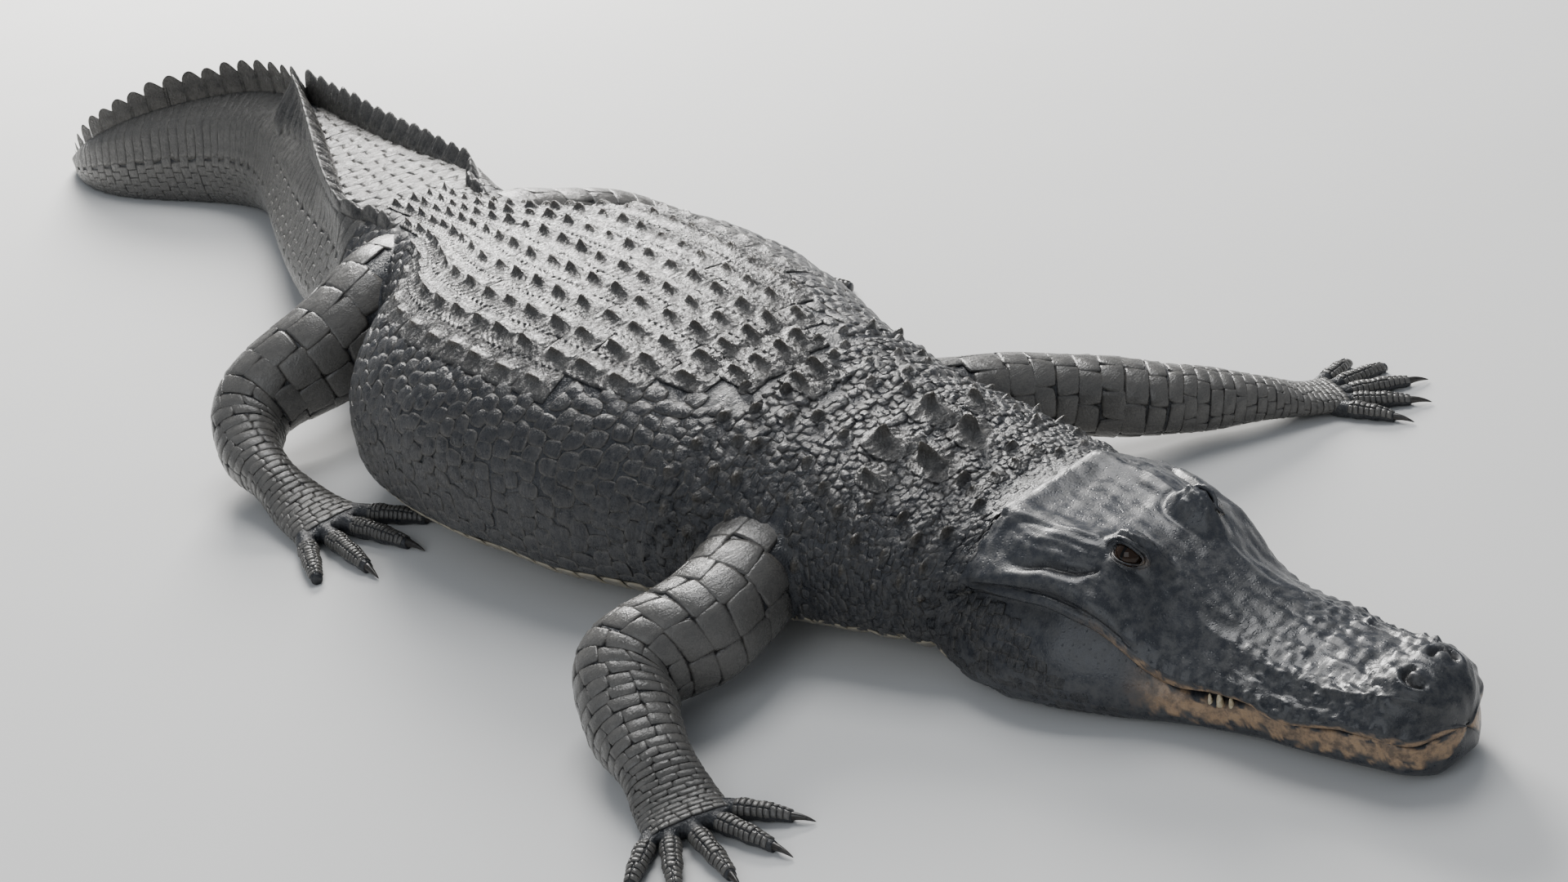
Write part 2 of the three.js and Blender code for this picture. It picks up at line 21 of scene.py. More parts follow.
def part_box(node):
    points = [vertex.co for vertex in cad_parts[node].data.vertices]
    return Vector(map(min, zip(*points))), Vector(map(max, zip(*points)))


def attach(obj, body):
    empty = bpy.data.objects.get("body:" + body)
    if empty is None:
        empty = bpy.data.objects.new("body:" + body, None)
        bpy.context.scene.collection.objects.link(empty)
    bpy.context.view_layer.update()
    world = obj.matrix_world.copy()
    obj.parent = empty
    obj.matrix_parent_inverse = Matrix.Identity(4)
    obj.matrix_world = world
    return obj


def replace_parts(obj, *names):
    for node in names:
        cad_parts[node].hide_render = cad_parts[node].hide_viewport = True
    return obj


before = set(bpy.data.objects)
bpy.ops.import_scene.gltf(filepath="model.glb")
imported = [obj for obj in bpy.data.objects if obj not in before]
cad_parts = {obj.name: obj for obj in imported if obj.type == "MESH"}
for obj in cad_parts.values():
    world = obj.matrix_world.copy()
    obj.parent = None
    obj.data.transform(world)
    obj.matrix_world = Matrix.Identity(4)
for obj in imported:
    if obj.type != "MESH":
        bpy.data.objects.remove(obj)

log = logging.getLogger("alligator")
Array = np.ndarray
Triple = tuple[float, float, float]
MM = 0.001
ROOT = "root"
MAP_NAME = "OFBake"
PATCH = 0.003
SEED = 11

# Shape of the animal, as [distance behind the snout tip, value].
SHAPE: dict[str, list[list[float]]] = {
    "heading": [[0, 2.7], [440, 2.7], [620, 8.9], [740, 9.7], [860, 5.2], [1000, -0.9], [1250, -5.5],
        [1450, -8.5], [1600, -10.8], [1750, -12.9], [2050, -15.4], [2250, -15.4], [2400, -9.8],
        [2500, -0.1], [2600, 13.6], [2700, 24.7], [2800, 27.5], [2900, 20.6], [3000, 7.5],
        [3100, -7.8], [3200, -20]],
    "half_width": [[460, 156], [560, 174], [700, 196], [834, 220], [980, 262], [1150, 290],
        [1260, 294], [1340, 276], [1400, 234], [1460, 186], [1520, 156], [1600, 146], [1700, 154],
        [1800, 166], [2000, 160], [2200, 140], [2400, 114], [2600, 86], [2750, 63], [2900, 42],
        [3030, 27], [3130, 15], [3200, 6]],
    "top": [[460, 152], [560, 166], [700, 198], [834, 234], [1000, 260], [1150, 268], [1320, 266],
        [1460, 254], [1600, 238], [1750, 222], [2000, 210], [2200, 204], [2400, 200], [2550, 192],
        [2700, 176], [2800, 160], [2900, 136], [3000, 102], [3100, 60], [3200, 18]],
    "widest": [[460, 66], [700, 74], [834, 86], [1150, 100], [1400, 100], [1650, 92], [1900, 70],
        [2400, 60], [2700, 46], [2950, 26], [3200, 8]],
    "underside": [[460, 6], [600, 14], [720, 6], [800, 0], [1500, 0], [1760, 3], [1900, 0], [3200, 0]],
    "crest_lat": [[1480, 122], [1600, 116], [1740, 104], [1880, 88], [2060, 62], [2240, 34], [2400, 9],
        [2440, 0]],
    "crest_height": [[1480, 13], [1740, 22], [1900, 30], [2150, 42], [2400, 54], [2550, 56],
        [2800, 50], [2950, 40], [3100, 24], [3200, 8]],
    "head_top": [[0, 66], [8, 80], [22, 92], [42, 97], [62, 93], [95, 86], [130, 86], [170, 90],
        [210, 98], [250, 112], [285, 131], [326, 146], [370, 154], [440, 163], [462, 165], [480, 155]],
    "edge_lat": [[0, 9], [8, 26], [22, 40], [42, 48], [90, 54], [160, 54], [240, 51], [290, 47],
        [326, 50], [370, 60], [430, 70], [462, 73], [480, 72]],
    "edge_z": [[0, 65], [8, 78], [22, 88], [42, 91], [70, 86], [110, 80], [170, 84], [230, 96],
        [270, 114], [300, 146], [326, 163], [356, 158], [400, 160], [462, 167], [480, 153]],
    "lip_lat": [[0, 12], [8, 38], [22, 57], [42, 68], [62, 72], [78, 73], [100, 80], [135, 87],
        [170, 89], [205, 90], [250, 97], [300, 107], [350, 115], [400, 124], [440, 130], [480, 131]],
    "lip_z": [[0, 55], [16, 46], [50, 53], [90, 51], [138, 47], [170, 56], [205, 54], [240, 50],
        [270, 58], [290, 72], [310, 86], [340, 100], [380, 110], [430, 110], [480, 100]],
    "jaw_lat": [[4, 20], [12, 40], [30, 56], [60, 64], [100, 72], [160, 80], [220, 92], [270, 110],
        [320, 134], [370, 154], [420, 162], [460, 160], [480, 157]],
    "jaw_low": [[0, 26], [6, 18], [14, 11], [30, 8.5], [110, 8], [240, 5], [300, 1], [480, 1]],
    "gape": [[4, 3], [160, 3], [188, 8], [205, 12], [225, 8], [260, 2.4], [300, 1.4], [480, 1]],
    "slit_depth": [[0, 13], [60, 18], [290, 16], [330, 10], [400, 6], [440, 3], [480, 1]],
}

HEAD_END = 466.0
NECK_START = 520.0
TAIL_TIP = 3196.0
BACK_ROWS = {"first": 834.0, "pitch": 48.5, "count": 19}
WHORLS = {"first": 1722.0, "pitch": 44.0, "join": 2400.0}
EYE = {"s": 321.0, "lat": 51.0, "z": 147.0, "radius": 15.0}
NECK_SHIELDS = [(590, 32, 24), (590, -36, 24), (646, 38, 24), (646, -38, 24), (628, 86, 15), (628, -88, 15)]
FLESH = ["head_upper", "lower_jaw", "neck", "chest", "belly", "pelvis", "tail_1", "tail_2", "tail_3",
         "tail_4", "tail_5", *(f"{part}_{side}" for side in ("right", "left")
                               for part in ("upper_arm", "forearm", "hand", "thigh", "shank", "foot"))]


class Side(Enum):
    """Side of the animal, as the sign of its sideways axis."""

    RIGHT = -1
    LEFT = 1


class Curve:
    """Smooth line through [key, value] stations that never overshoots them."""

    def __init__(self, stations: Sequence[Sequence[float]]) -> None:
        """Works out the slope at each station.

        Args:
            stations: Keys in rising order, each with its value.
        """
        points = np.array(stations, float)
        self.x = points[:, 0]
        self.y = points[:, 1]
        gap = np.diff(self.x)
        rise = np.diff(self.y) / gap
        a = rise[:-1]
        b = rise[1:]
        same = a * b > 0
        wide_a = 2 * self.x[2:] - self.x[1:-1] - self.x[:-2]
        wide_b = self.x[2:] + self.x[1:-1] - 2 * self.x[:-2]
        inner = np.zeros(len(a))
        inner[same] = (3 * (self.x[2:] - self.x[:-2])[same]
                       / (wide_a[same] / a[same] + wide_b[same] / b[same]))
        self.slope = np.concatenate([rise[:1], inner, rise[-1:]])

    def __call__(self, key: Array | float) -> Array:
        """Value at each key, held level beyond both ends.

        Args:
            key: Places along the line.

        Returns:
            One value for each key.
        """
        v = np.clip(np.asarray(key, float), self.x[0], self.x[-1])
        i = np.clip(np.searchsorted(self.x, v, side="right") - 1, 0, len(self.x) - 2)
        h = self.x[i + 1] - self.x[i]
        t = (v - self.x[i]) / h
        return hermite(t, self.y[i], self.y[i + 1], h * self.slope[i], h * self.slope[i + 1])


def hermite(t: Array, y0: Array, y1: Array, m0: Array, m1: Array) -> Array:
    """Cubic between two values with given end slopes.

    Args:
        t: Share of the way.
        y0: Value at the start.
        y1: Value at the end.
        m0: Slope at the start.
        m1: Slope at the end.

    Returns:
        Value at each share.
    """
    t2 = t * t
    t3 = t2 * t
    return (2 * t3 - 3 * t2 + 1) * y0 + (t3 - 2 * t2 + t) * m0 + (3 * t2 - 2 * t3) * y1 + (t3 - t2) * m1


def through(values: Array, q: Array) -> Array:
    """Smooth value at position q along each row of control values, level at both ends of the row.

    Args:
        values: One row of control values for each point.
        q: Position along the row, in steps between controls.

    Returns:
        One value for each point.
    """
    rise = np.diff(values, axis=1)
    a = rise[:, :-1]
    b = rise[:, 1:]
    same = a * b > 0
    inner = np.where(same, 2 * a * b / np.where(same, a + b, 1), 0)
    slope = np.concatenate([rise[:, :1], inner, rise[:, -1:]], axis=1)
    i = np.clip(q.astype(int), 0, values.shape[1] - 2)
    row = np.arange(len(q))
    return hermite(q - i, values[row, i], values[row, i + 1], slope[row, i], slope[row, i + 1])


def ease(x: Array | float) -> Array:
    """Smooth step from 0 to 1 as x goes from 0 to 1."""
    t = np.clip(x, 0, 1)
    return t * t * (3 - 2 * t)


def bell(x: Array, width: float) -> Array:
    """Soft bump of height 1 at x = 0 that has faded at about twice the width."""
    return np.exp(-((x / width) ** 2))


def unit(v: Array) -> Array:
    """Vectors scaled to length 1."""
    return v / np.maximum(np.linalg.norm(v, axis=-1, keepdims=True), 1e-9)


def waves(p: Array, size: float, seed: int) -> Array:
    """Rough wandering pattern of about -1 to 1 with features of a given size, summed from waves.

    Args:
        p: Points in millimetres.
        size: Distance between neighbouring bumps in millimetres.
        seed: Picks the wave directions.

    Returns:
        One value for each point.
    """
    rng = np.random.default_rng(seed)
    total = np.zeros(p.shape[:-1])
    count = 9
    for _ in range(count):
        way = rng.normal(size=3)
        way /= np.linalg.norm(way)
        pace = tau / (size * rng.uniform(0.7, 1.6))
        total += np.sin(p @ way * pace + rng.uniform(0, tau))
    return total / sqrt(count)


class Form:
    """Surface of the animal given by two coordinates."""

    step_u = 1.0
    step_v = 0.002

    def at(self, u: Array, v: Array) -> Array:
        """Points of the surface in millimetres."""
        raise NotImplementedError

    def frame(self, u: Array, v: Array) -> tuple[Array, Array]:
        """Points of the surface with the directions that face out of it.

        Args:
            u: Places along it.
            v: Places round it.

        Returns:
            The points and their outward normals.
        """
        along = self.at(u + self.step_u, v) - self.at(u - self.step_u, v)
        across = self.at(u, v + self.step_v) - self.at(u, v - self.step_v)
        return self.at(u, v), unit(np.cross(across, along))


@dataclass
class Body(Form):
    """Head, neck, trunk and tail: u is the distance behind the snout tip, v runs from the back midline
    at 0 over the animal's left side to the belly midline at 1, and over its right side to -1.

    Attributes:
        depth: How far the skin lies inside the outer shape, in millimetres.
        head_keys: Shares of the way round at the control points of the head's section.
        tail_keys: The same for the tail's section.
        step: Distance between the stations of the midline.
    """

    depth: float = 4.0
    head_keys: tuple[float, ...] = (
        0, .06, .12, .17, .22, .28, .34, .39, .415, .425, .44, .455, .465, .51, .58, .68, .78, .89, 1)
    tail_keys: tuple[float, ...] = (0, .07, .15, .19, .27, .36, .46, .6, .78, 1)
    step: float = 5.0

    def __post_init__(self) -> None:
        """Readies the size curves and walks the midline."""
        self.curves = {name: Curve(table) for name, table in SHAPE.items()}
        step = self.step
        self.keys = np.arange(0, TAIL_TIP + 29, step)
        self.turn = np.radians(self.curves["heading"](self.keys))
        middle = np.radians(self.curves["heading"](self.keys[1:] - step / 2))
        self.x = np.concatenate([[0], -np.cumsum(np.cos(middle) * step)])
        self.y = np.concatenate([[0], -np.cumsum(np.sin(middle) * step)])
        self.shift = np.zeros(2)
        low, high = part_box("eye_right")
        eye = self.place(np.array(EYE["s"]), np.array(-EYE["lat"]), np.array(EYE["z"]))
        self.shift = np.array([(low.x + high.x) / 2, (low.y + high.y) / 2]) / MM - eye[:2]

    def place(self, s: Array, lat: Array, z: Array) -> Array:
        """Points given in the animal's own measures.

        Args:
            s: Stations.
            lat: Distances to the left of the midline.
            z: Heights above the floor.

        Returns:
            The points in millimetres.
        """
        inside = np.clip(s, 0, self.keys[-1])
        ahead = np.minimum(s, 0)
        a = np.interp(inside, self.keys, self.turn)
        x = np.interp(inside, self.keys, self.x) - np.sin(a) * lat - ahead * np.cos(a)
        y = np.interp(inside, self.keys, self.y) + np.cos(a) * lat - ahead * np.sin(a)
        return np.stack([x + self.shift[0], y + self.shift[1], z + 0 * x], axis=-1)

    def axes(self, s: float) -> tuple[Array, Array, Array]:
        """Forward, left and up at a station."""
        a = float(np.interp(s, self.keys, self.turn))
        return (np.array([cos(a), sin(a), 0]), np.array([-sin(a), cos(a), 0]),
                np.array([0.0, 0.0, 1.0]))

    def trunk(self, s: Array, a: Array) -> tuple[Array, Array]:
        """Half section of trunk and neck.

        Args:
            s: Stations.
            a: Shares of the way round.

        Returns:
            Distances from the midline and heights.
        """
        c = self.curves
        upper = a <= 0.5
        f = np.sin(pi / 2 * np.clip(np.where(upper, 2 * a, 2 * (1 - a)), 0, 1))
        wide = c["widest"](s)
        high = wide + (c["top"](s) - self.depth - wide) * (1 - f ** 2.5) ** (1 / 2.3)
        low = wide - (wide - c["underside"](s)) * (1 - f ** 3) ** (1 / 2.6)
        return f * (c["half_width"](s) - self.depth), np.where(upper, high, low)

    def tail(self, s: Array, a: Array) -> tuple[Array, Array]:
        """Half section of the tail: flat top out to the crest, tall flank, flat sole.

        Args:
            s: Stations.
            a: Shares of the way round.

        Returns:
            Distances from the midline and heights.
        """
        c = self.curves
        w = c["half_width"](s) - self.depth
        t = c["top"](s) - self.depth
        k = np.minimum(c["crest_lat"](s), w * 0.9)
        zero = 0 * s
        lat = [zero, k * 0.5, k, np.minimum(k + 4, w), np.maximum(0.62 * w, np.minimum(k + 10, 0.95 * w)),
               np.maximum(0.82 * w, np.minimum(k + 9, 0.97 * w)), 0.99 * w, 0.95 * w, 0.6 * w, zero]
        z = [t + 1, t, t, t - 3, t * 0.84, t * 0.62, t * 0.42, t * 0.18, zero, zero]
        q = np.interp(a, self.tail_keys, np.arange(len(self.tail_keys)))
        return through(np.stack(lat, -1), q), through(np.stack(z, -1), q)

    def head(self, s: Array, a: Array) -> tuple[Array, Array]:
        """Half section of the head: crown, table edge, cheek, lip, mouth slit, jaw and throat.

        Args:
            s: Stations.
            a: Shares of the way round.

        Returns:
            Distances from the midline and heights.
        """
        c = self.curves
        e = c["edge_lat"](s) - 0.8
        w = c["lip_lat"](s) - 1
        ze = c["edge_z"](s) - 1
        zl = c["lip_z"](s) + 0.6
        top = c["head_top"](s) - 1.2
        gap = np.maximum(c["gape"](s), 1.2)
        zt = zl - gap - 1
        wj = c["jaw_lat"](s) - 1.5
        inset = np.minimum(wj, w - 4)
        low = c["jaw_low"](s)
        lat = [0 * s, 0.42 * e, 0.8 * e, e, e + (w - e) * 0.2, e + (w - e) * 0.52, e + (w - e) * 0.86, w,
               w - 0.6, w - 4, w - c["slit_depth"](s), inset - 3, inset, inset + (wj - inset) * 0.7, wj,
               0.93 * wj, 0.72 * wj, 0.36 * wj, 0 * s]
        drop = ze - zl
        z = [top, top + (ze - top) * 0.12, top + (ze - top) * 0.72, ze, ze - drop * 0.16, ze - drop * 0.38,
             ze - drop * 0.62, zl + drop * 0.2, zl + 2.5, zl, zl - gap / 2, zt, zt - 3, zt * 0.68 + low * 0.3,
             zt * 0.4 + low * 0.4, zt * 0.13 + low, low, low, low]
        q = np.interp(a, self.head_keys, np.arange(len(self.head_keys)))
        return through(np.stack(lat, -1), q), through(np.stack(z, -1), q)

    def folds(self, s: Array, v: Array) -> Array:
        """How far loose skin stands out or is drawn in along neck and trunk.

        Args:
            s: Stations.
            v: Places round the body.

        Returns:
            Millimetres outward, one for each point.
        """
        a = np.abs(v)
        side = ease((a - 0.12) / 0.14) * ease((0.9 - a) / 0.1)
        push = np.zeros(s.shape)
        # Rolls behind the jowl and grooves that cross the shoulders.
        for at, wide, deep, lean in ((500, 10, 7, 40), (540, 11, 4, 44), (584, 12, 3, 50), (700, 12, 3.5, 30),
                                     (757, 10, 4, 24), (806, 9, 3, 20), (1440, 15, 5, 60), (1474, 12, 4, 60)):
            push -= deep * bell(s - at - lean * (a - 0.4), wide) * side
        push -= (2.4 * bell(s - 802, 6) + 2.4 * bell(s - 866, 6)) * ease((0.36 - a) / 0.1)
        # Wrinkles across the top of the neck.
        over = ease((0.5 - a) / 0.2) * ease((820 - s) / 60)
        push += 1.3 * np.sin(s / 5.2 + 5 * a + 1.7 * np.sin(v * 9 + s / 60)) * over
        # Rings of skin round each arm and thigh root.
        for at, turn, reach, pace in ((762, 0.50, 58, 21), (1612, 0.44, 74, 27)):
            far = np.hypot(s - at, (a - turn) * 560)
            ring = np.cos((far - reach) * tau / pace)
            push += 2.0 * ring * ease((far - reach + 8) / 10) * ease((reach + 78 - far) / 60)
        # Soft sag and slow unevenness.
        wobble = (np.sin(s / 31 + 4 * a) + np.sin(s / 19 - 7 * a + np.sign(v)) + np.sin(s / 47 + 9 * v)) / 3
        push += wobble * 2.0 * ease((a - 0.2) / 0.15)
        return push * ease((s - 480) / 40) * ease((1760 - s) / 120)

    def section(self, s: Array, v: Array) -> tuple[Array, Array]:
        """Full section of the body.

        Args:
            s: Stations, as a flat row.
            v: Places round the body, as a flat row.

        Returns:
            Distances to the left of the midline and heights.
        """
        a = np.clip(np.abs(v), 0, 1)
        lat, z = self.trunk(s, a)
        middle = self.curves["widest"](s)
        grow = 1 + self.folds(s, v) / np.maximum(np.hypot(lat, z - middle), 60)
        lat = lat * grow
        z = middle + (z - middle) * grow
        for share, shape in ((ease((s - 1700) / 110), self.tail),
                             (1 - ease((s - HEAD_END) / (NECK_START - HEAD_END)), self.head)):
            m = share > 0
            if m.any():
                lat_in, z_in = shape(s[m], a[m])
                lat[m] += share[m] * (lat_in - lat[m])
                z[m] += share[m] * (z_in - z[m])
        return np.sign(v) * lat, np.maximum(z, 0.8)

    def outside(self, p: Array) -> Array:
        """How far points lie out from the trunk's middle.

        Args:
            p: Points in millimetres.

        Returns:
            A share for each point, 1 on the trunk's surface.
        """
        flat = p[..., :2] - self.shift
        far = (flat[..., :1] - self.x) ** 2 + (flat[..., 1:2] - self.y) ** 2
        near = far.argmin(axis=-1)
        s = self.keys[near]
        lat = np.sqrt(np.take_along_axis(far, near[..., None], -1)[..., 0])
        wide = self.curves["widest"](s)
        high = np.abs(p[..., 2] - wide) / (self.curves["top"](s) - wide)
        return ((lat / self.curves["half_width"](s)) ** 2.5 + high ** 2.3) ** (1 / 2.4)

    def at(self, u: Array, v: Array) -> Array:
        """Points of the body's skin.

        Args:
            u: Places along it.
            v: Places round it.

        Returns:
            The points in millimetres.
        """
        u, v = np.broadcast_arrays(np.asarray(u, float), np.asarray(v, float))
        s = u.ravel()
        lat, z = self.section(s, v.ravel())
        return self.place(s, lat, z).reshape(*u.shape, 3)


@dataclass
class Limb(Form):
    """One limb from its root in the body to the palm: u goes from 0 to 1 along it, v is 0 on top and
    1 or -1 underneath.

    Attributes:
        body: The body it grows from.
        joints: Place, half breadth and half height at each joint, in millimetres.
        turn: Direction of the toes in degrees.
        spread: Angle between toes in degrees.
        lengths: Length of each toe from the palm, inner toe first.
        radius: Radius of a toe.
        side: Side of the animal.
        depth: How far the skin lies inside the outer shape.
        soft_turn: Share of the limb over which its direction is averaged.
    """

    body: Body
    joints: Sequence[tuple[Triple, float, float]]
    turn: float
    spread: float
    lengths: Sequence[float]
    radius: float
    side: Side
    depth: float = 3.0
    step_u = 0.004
    soft_turn: float = 0.13

    def __post_init__(self) -> None:
        """Lays out the limb's middle line and its turning axes."""
        self.knots = np.array([j[0] for j in self.joints], float)
        keys = np.linspace(0, 1, len(self.joints))
        self.across = Curve(list(zip(keys, [j[1] for j in self.joints])))
        self.tall = Curve(list(zip(keys, [j[2] for j in self.joints])))
        self.t = np.linspace(0, 1, 241)
        self.line = np.array([self.middle(t) for t in self.t])
        ahead = np.array([self.middle(min(1, t + self.soft_turn)) for t in self.t])
        behind = np.array([self.middle(max(0, t - self.soft_turn)) for t in self.t])
        way = unit(ahead - behind)
        self.sideways = unit(np.cross([0, 0, 1], way))
        self.up = np.cross(way, self.sideways)

    def middle(self, t: float) -> Array:
        """Point of the smooth line through the joints.

        Args:
            t: Share of the way from root to palm.

        Returns:
            The point in millimetres.
        """
        p = self.knots
        last = len(p) - 1
        i = min(int(t * last), last - 1)
        w = t * last - i
        p1 = p[i]
        p2 = p[i + 1]
        p0 = p[i - 1] if i > 0 else 2 * p[0] - p[1]
        p3 = p[i + 2] if i + 2 <= last else 2 * p[last] - p[last - 1]
        d0, d1, d2 = (sqrt(np.linalg.norm(b - a)) for a, b in ((p0, p1), (p1, p2), (p2, p3)))
        m1 = ((p1 - p0) / d0 - (p2 - p0) / (d0 + d1) + (p2 - p1) / d1) * d1
        m2 = ((p2 - p1) / d1 - (p3 - p1) / (d1 + d2) + (p3 - p2) / d2) * d1
        return hermite(w, p1, p2, m1, m2)

    def at(self, u: Array, v: Array) -> Array:
        """Points of the limb's skin.

        Args:
            u: Places along it.
            v: Places round it.

        Returns:
            The points in millimetres.
        """
        u, v = np.broadcast_arrays(np.asarray(u, float), np.asarray(v, float))
        t = np.clip(u, 0, 1)
        pick = [np.stack([np.interp(t, self.t, table[:, k]) for k in range(3)], -1)
                for table in (self.line, self.sideways, self.up)]
        angle = pi / 2 + pi * v
        ca = np.cos(angle)
        sa = np.sin(angle)
        muscle = 1 + 0.022 * np.sin(t * 17 + 2 * np.sin(angle)) + 0.016 * np.sin(t * 31 + 2 * angle)
        wide = np.sign(ca) * np.abs(ca) ** 0.85 * (self.across(t) - self.depth) * muscle
        high = np.sign(sa) * np.abs(sa) ** 0.85 * (self.tall(t) - self.depth) * muscle
        p = pick[0] + pick[1] * wide[..., None] + pick[2] * high[..., None]
        p[..., :2] += self.body.shift
        p[..., 2] = np.maximum(p[..., 2], 0.8)
        return p

    def toes(self) -> list["Toe"]:
        """The toes of this limb.

        Returns:
            The toes, inner one first.
        """
        count = len(self.lengths)
        palm = self.knots[-1].copy()
        palm[:2] += self.body.shift
        reach = self.joints[-1][1]
        ahead = radians(self.turn)
        found = []
        for i, length in enumerate(self.lengths):
            rank = (i - (count - 1) / 2) * self.side.value
            aim = radians(self.turn + rank * self.spread)
            aside = rank * reach * 1.5 / count
            start = palm + np.array([-cos(ahead) * reach * 0.45 - sin(ahead) * aside,
                                     -sin(ahead) * reach * 0.45 + cos(ahead) * aside, 0])
            found.append(Toe(start, aim, length + reach * 0.45, self.radius, self.depth * 0.4))
        return found


@dataclass
class Toe(Form):
    """One toe on the floor: u goes from 0 at its root to 1 at the claw, v is 0 on top."""

    start: Array
    aim: float
    length: float
    radius: float
    depth: float
    step_u = 0.01

    def at(self, u: Array, v: Array) -> Array:
        """Points of the toe's skin.

        Args:
            u: Places along it.
            v: Places round it.

        Returns:
            The points in millimetres.
        """
        u, v = np.broadcast_arrays(np.asarray(u, float), np.asarray(v, float))
        t = np.clip(u, 0, 1)
        girth = np.interp(t, [0, 0.55, 0.85, 1], [1.15, 1.05, 0.88, 0.62])
        knuckles = 1 + 0.07 * np.cos(tau * (t - 0.42) * 3.6) * ease(t * 4)
        r = (self.radius * girth - self.depth) * np.where(t > 0.3, knuckles, 1)
        way = np.array([cos(self.aim), sin(self.aim), 0])
        side = np.array([-way[1], way[0], 0])
        angle = pi / 2 + pi * v
        base = self.start * np.array([1, 1, 0])
        p = base + way * (t * self.length)[..., None] + side * (np.cos(angle) * r)[..., None]
        p[..., 2] = np.maximum(0.8, self.radius * girth * 0.9 + np.sin(angle) * r)
        return p


def woven(points: Array, name: str) -> Object:
    """Closed mesh from a sheet of points whose edges meet: a tube with pointed ends, or a ring.

    Args:
        points: Rows by columns by 3, in millimetres; edges that should join share their points.
        name: Name of the object.

    Returns:
        The new object.
    """
    rows, cols = points.shape[:2]
    bm = bmesh.new()
    bmesh.ops.create_grid(bm, x_segments=rows - 1, y_segments=cols - 1, size=0.5)
    for v in bm.verts:
        i = round((v.co.x + 0.5) * (rows - 1))
        j = round((v.co.y + 0.5) * (cols - 1))
        v.co = points[i, j] * MM
    bmesh.ops.remove_doubles(bm, verts=bm.verts, dist=2e-6)
    bmesh.ops.recalc_face_normals(bm, faces=bm.faces)
    return finish_mesh(bm, name)


def finish_mesh(bm: bmesh.types.BMesh, name: str) -> Object:
    """Puts a bmesh into the scene, smooth shaded, as an object at the origin.

    Args:
        bm: The bmesh, which is freed.
        name: Name of the object.

    Returns:
        The new object.
    """
    mesh = bpy.data.meshes.new(name)
    bm.to_mesh(mesh)
    bm.free()
    mesh.polygons.foreach_set("use_smooth", np.ones(len(mesh.polygons), bool))
    piece = bpy.data.objects.new(name, mesh)
    bpy.context.scene.collection.objects.link(piece)
    return piece


def search_tree(points: Array) -> KDTree:
    """Search tree that knows each point by its number.

    Args:
        points: One row of three numbers for each point.

    Returns:
        The tree.
    """
    tree = KDTree(max(1, len(points)))
    for i, point in enumerate(points):
        tree.insert(point, i)
    tree.balance()
    return tree


def settle(piece: Object) -> None:
    """Applies every modifier of a piece to its mesh.

    Args:
        piece: The piece.
    """
    graph = bpy.context.evaluated_depsgraph_get()
    mesh = bpy.data.meshes.new_from_object(piece.evaluated_get(graph))
    piece.modifiers.clear()
    old = piece.data
    piece.data = mesh
    mesh.name = piece.name
    bpy.data.meshes.remove(old)


def coordinates(mesh: Mesh) -> Array:
    """Vertex places of a mesh.

    Args:
        mesh: The mesh.

    Returns:
        One row of three numbers for each vertex.
    """
    co = np.empty(len(mesh.vertices) * 3, np.float32)
    mesh.vertices.foreach_get("co", co)
    return co.reshape(-1, 3).astype(float)


def put_values(mesh: Mesh, name: str, values: Array) -> None:
    """Stores one number for each vertex under the name by which materials read it."""
    layer = mesh.attributes.get(name) or mesh.attributes.new(name, "FLOAT", "POINT")
    layer.data.foreach_set("value", np.ascontiguousarray(values, np.float32).ravel())


@dataclass
class Seats:
    """Places and sizes of many scales on a form, one entry each.

    Attributes:
        u: Places along the form.
        v: Places round it.
        du: Half lengths in u.
        dv: Half widths in v.
        tall: Heights of keel or dome in millimetres.
        tone: Chance values from 0 to 1.
    """

    u: Array
    v: Array
    du: Array
    dv: Array
    tall: Array
    tone: Array

    def keep(self, chosen: Array) -> "Seats":
        """Only the chosen seats."""
        return Seats(self.u[chosen], self.v[chosen], self.du[chosen], self.dv[chosen], self.tall[chosen],
                     self.tone[chosen])

    @staticmethod
    def gather(rows: Sequence[Sequence[float]], rng: np.random.Generator) -> "Seats":
        """Seats from rows of u, v, du, dv and tall."""
        table = np.array(rows, float)
        return Seats(*table.T, rng.uniform(0, 1, len(table)))


Relief = Callable[[Seats, Array, Array], Array]


def template(along: int, across: int) -> bmesh.types.BMesh:
    """One flat scale from -1 to 1 each way, at height 1 with its closed underside at height 0.

    Args:
        along: Faces along it.
        across: Faces across it.

    Returns:
        The open bmesh.
    """
    bm = bmesh.new()
    bmesh.ops.create_grid(bm, x_segments=along, y_segments=across, size=1,
                          matrix=Matrix.Translation((0, 0, 1)))
    rim = [e for e in bm.edges if e.is_boundary]
    skirt = bmesh.ops.extrude_edge_only(bm, edges=rim)["geom"]
    bmesh.ops.translate(bm, vec=(0, 0, -1), verts=[g for g in skirt if isinstance(g, bmesh.types.BMVert)])
    bmesh.ops.holes_fill(bm, edges=[e for e in bm.edges if e.is_boundary], sides=0)
    bmesh.ops.recalc_face_normals(bm, faces=bm.faces)
    # The extrusion makes its faces in no fixed order, so they are put in order of place.
    bm.faces.sort(key=lambda face: face.calc_center_median().dot(Vector((1, 100, 10000))))
    return bm


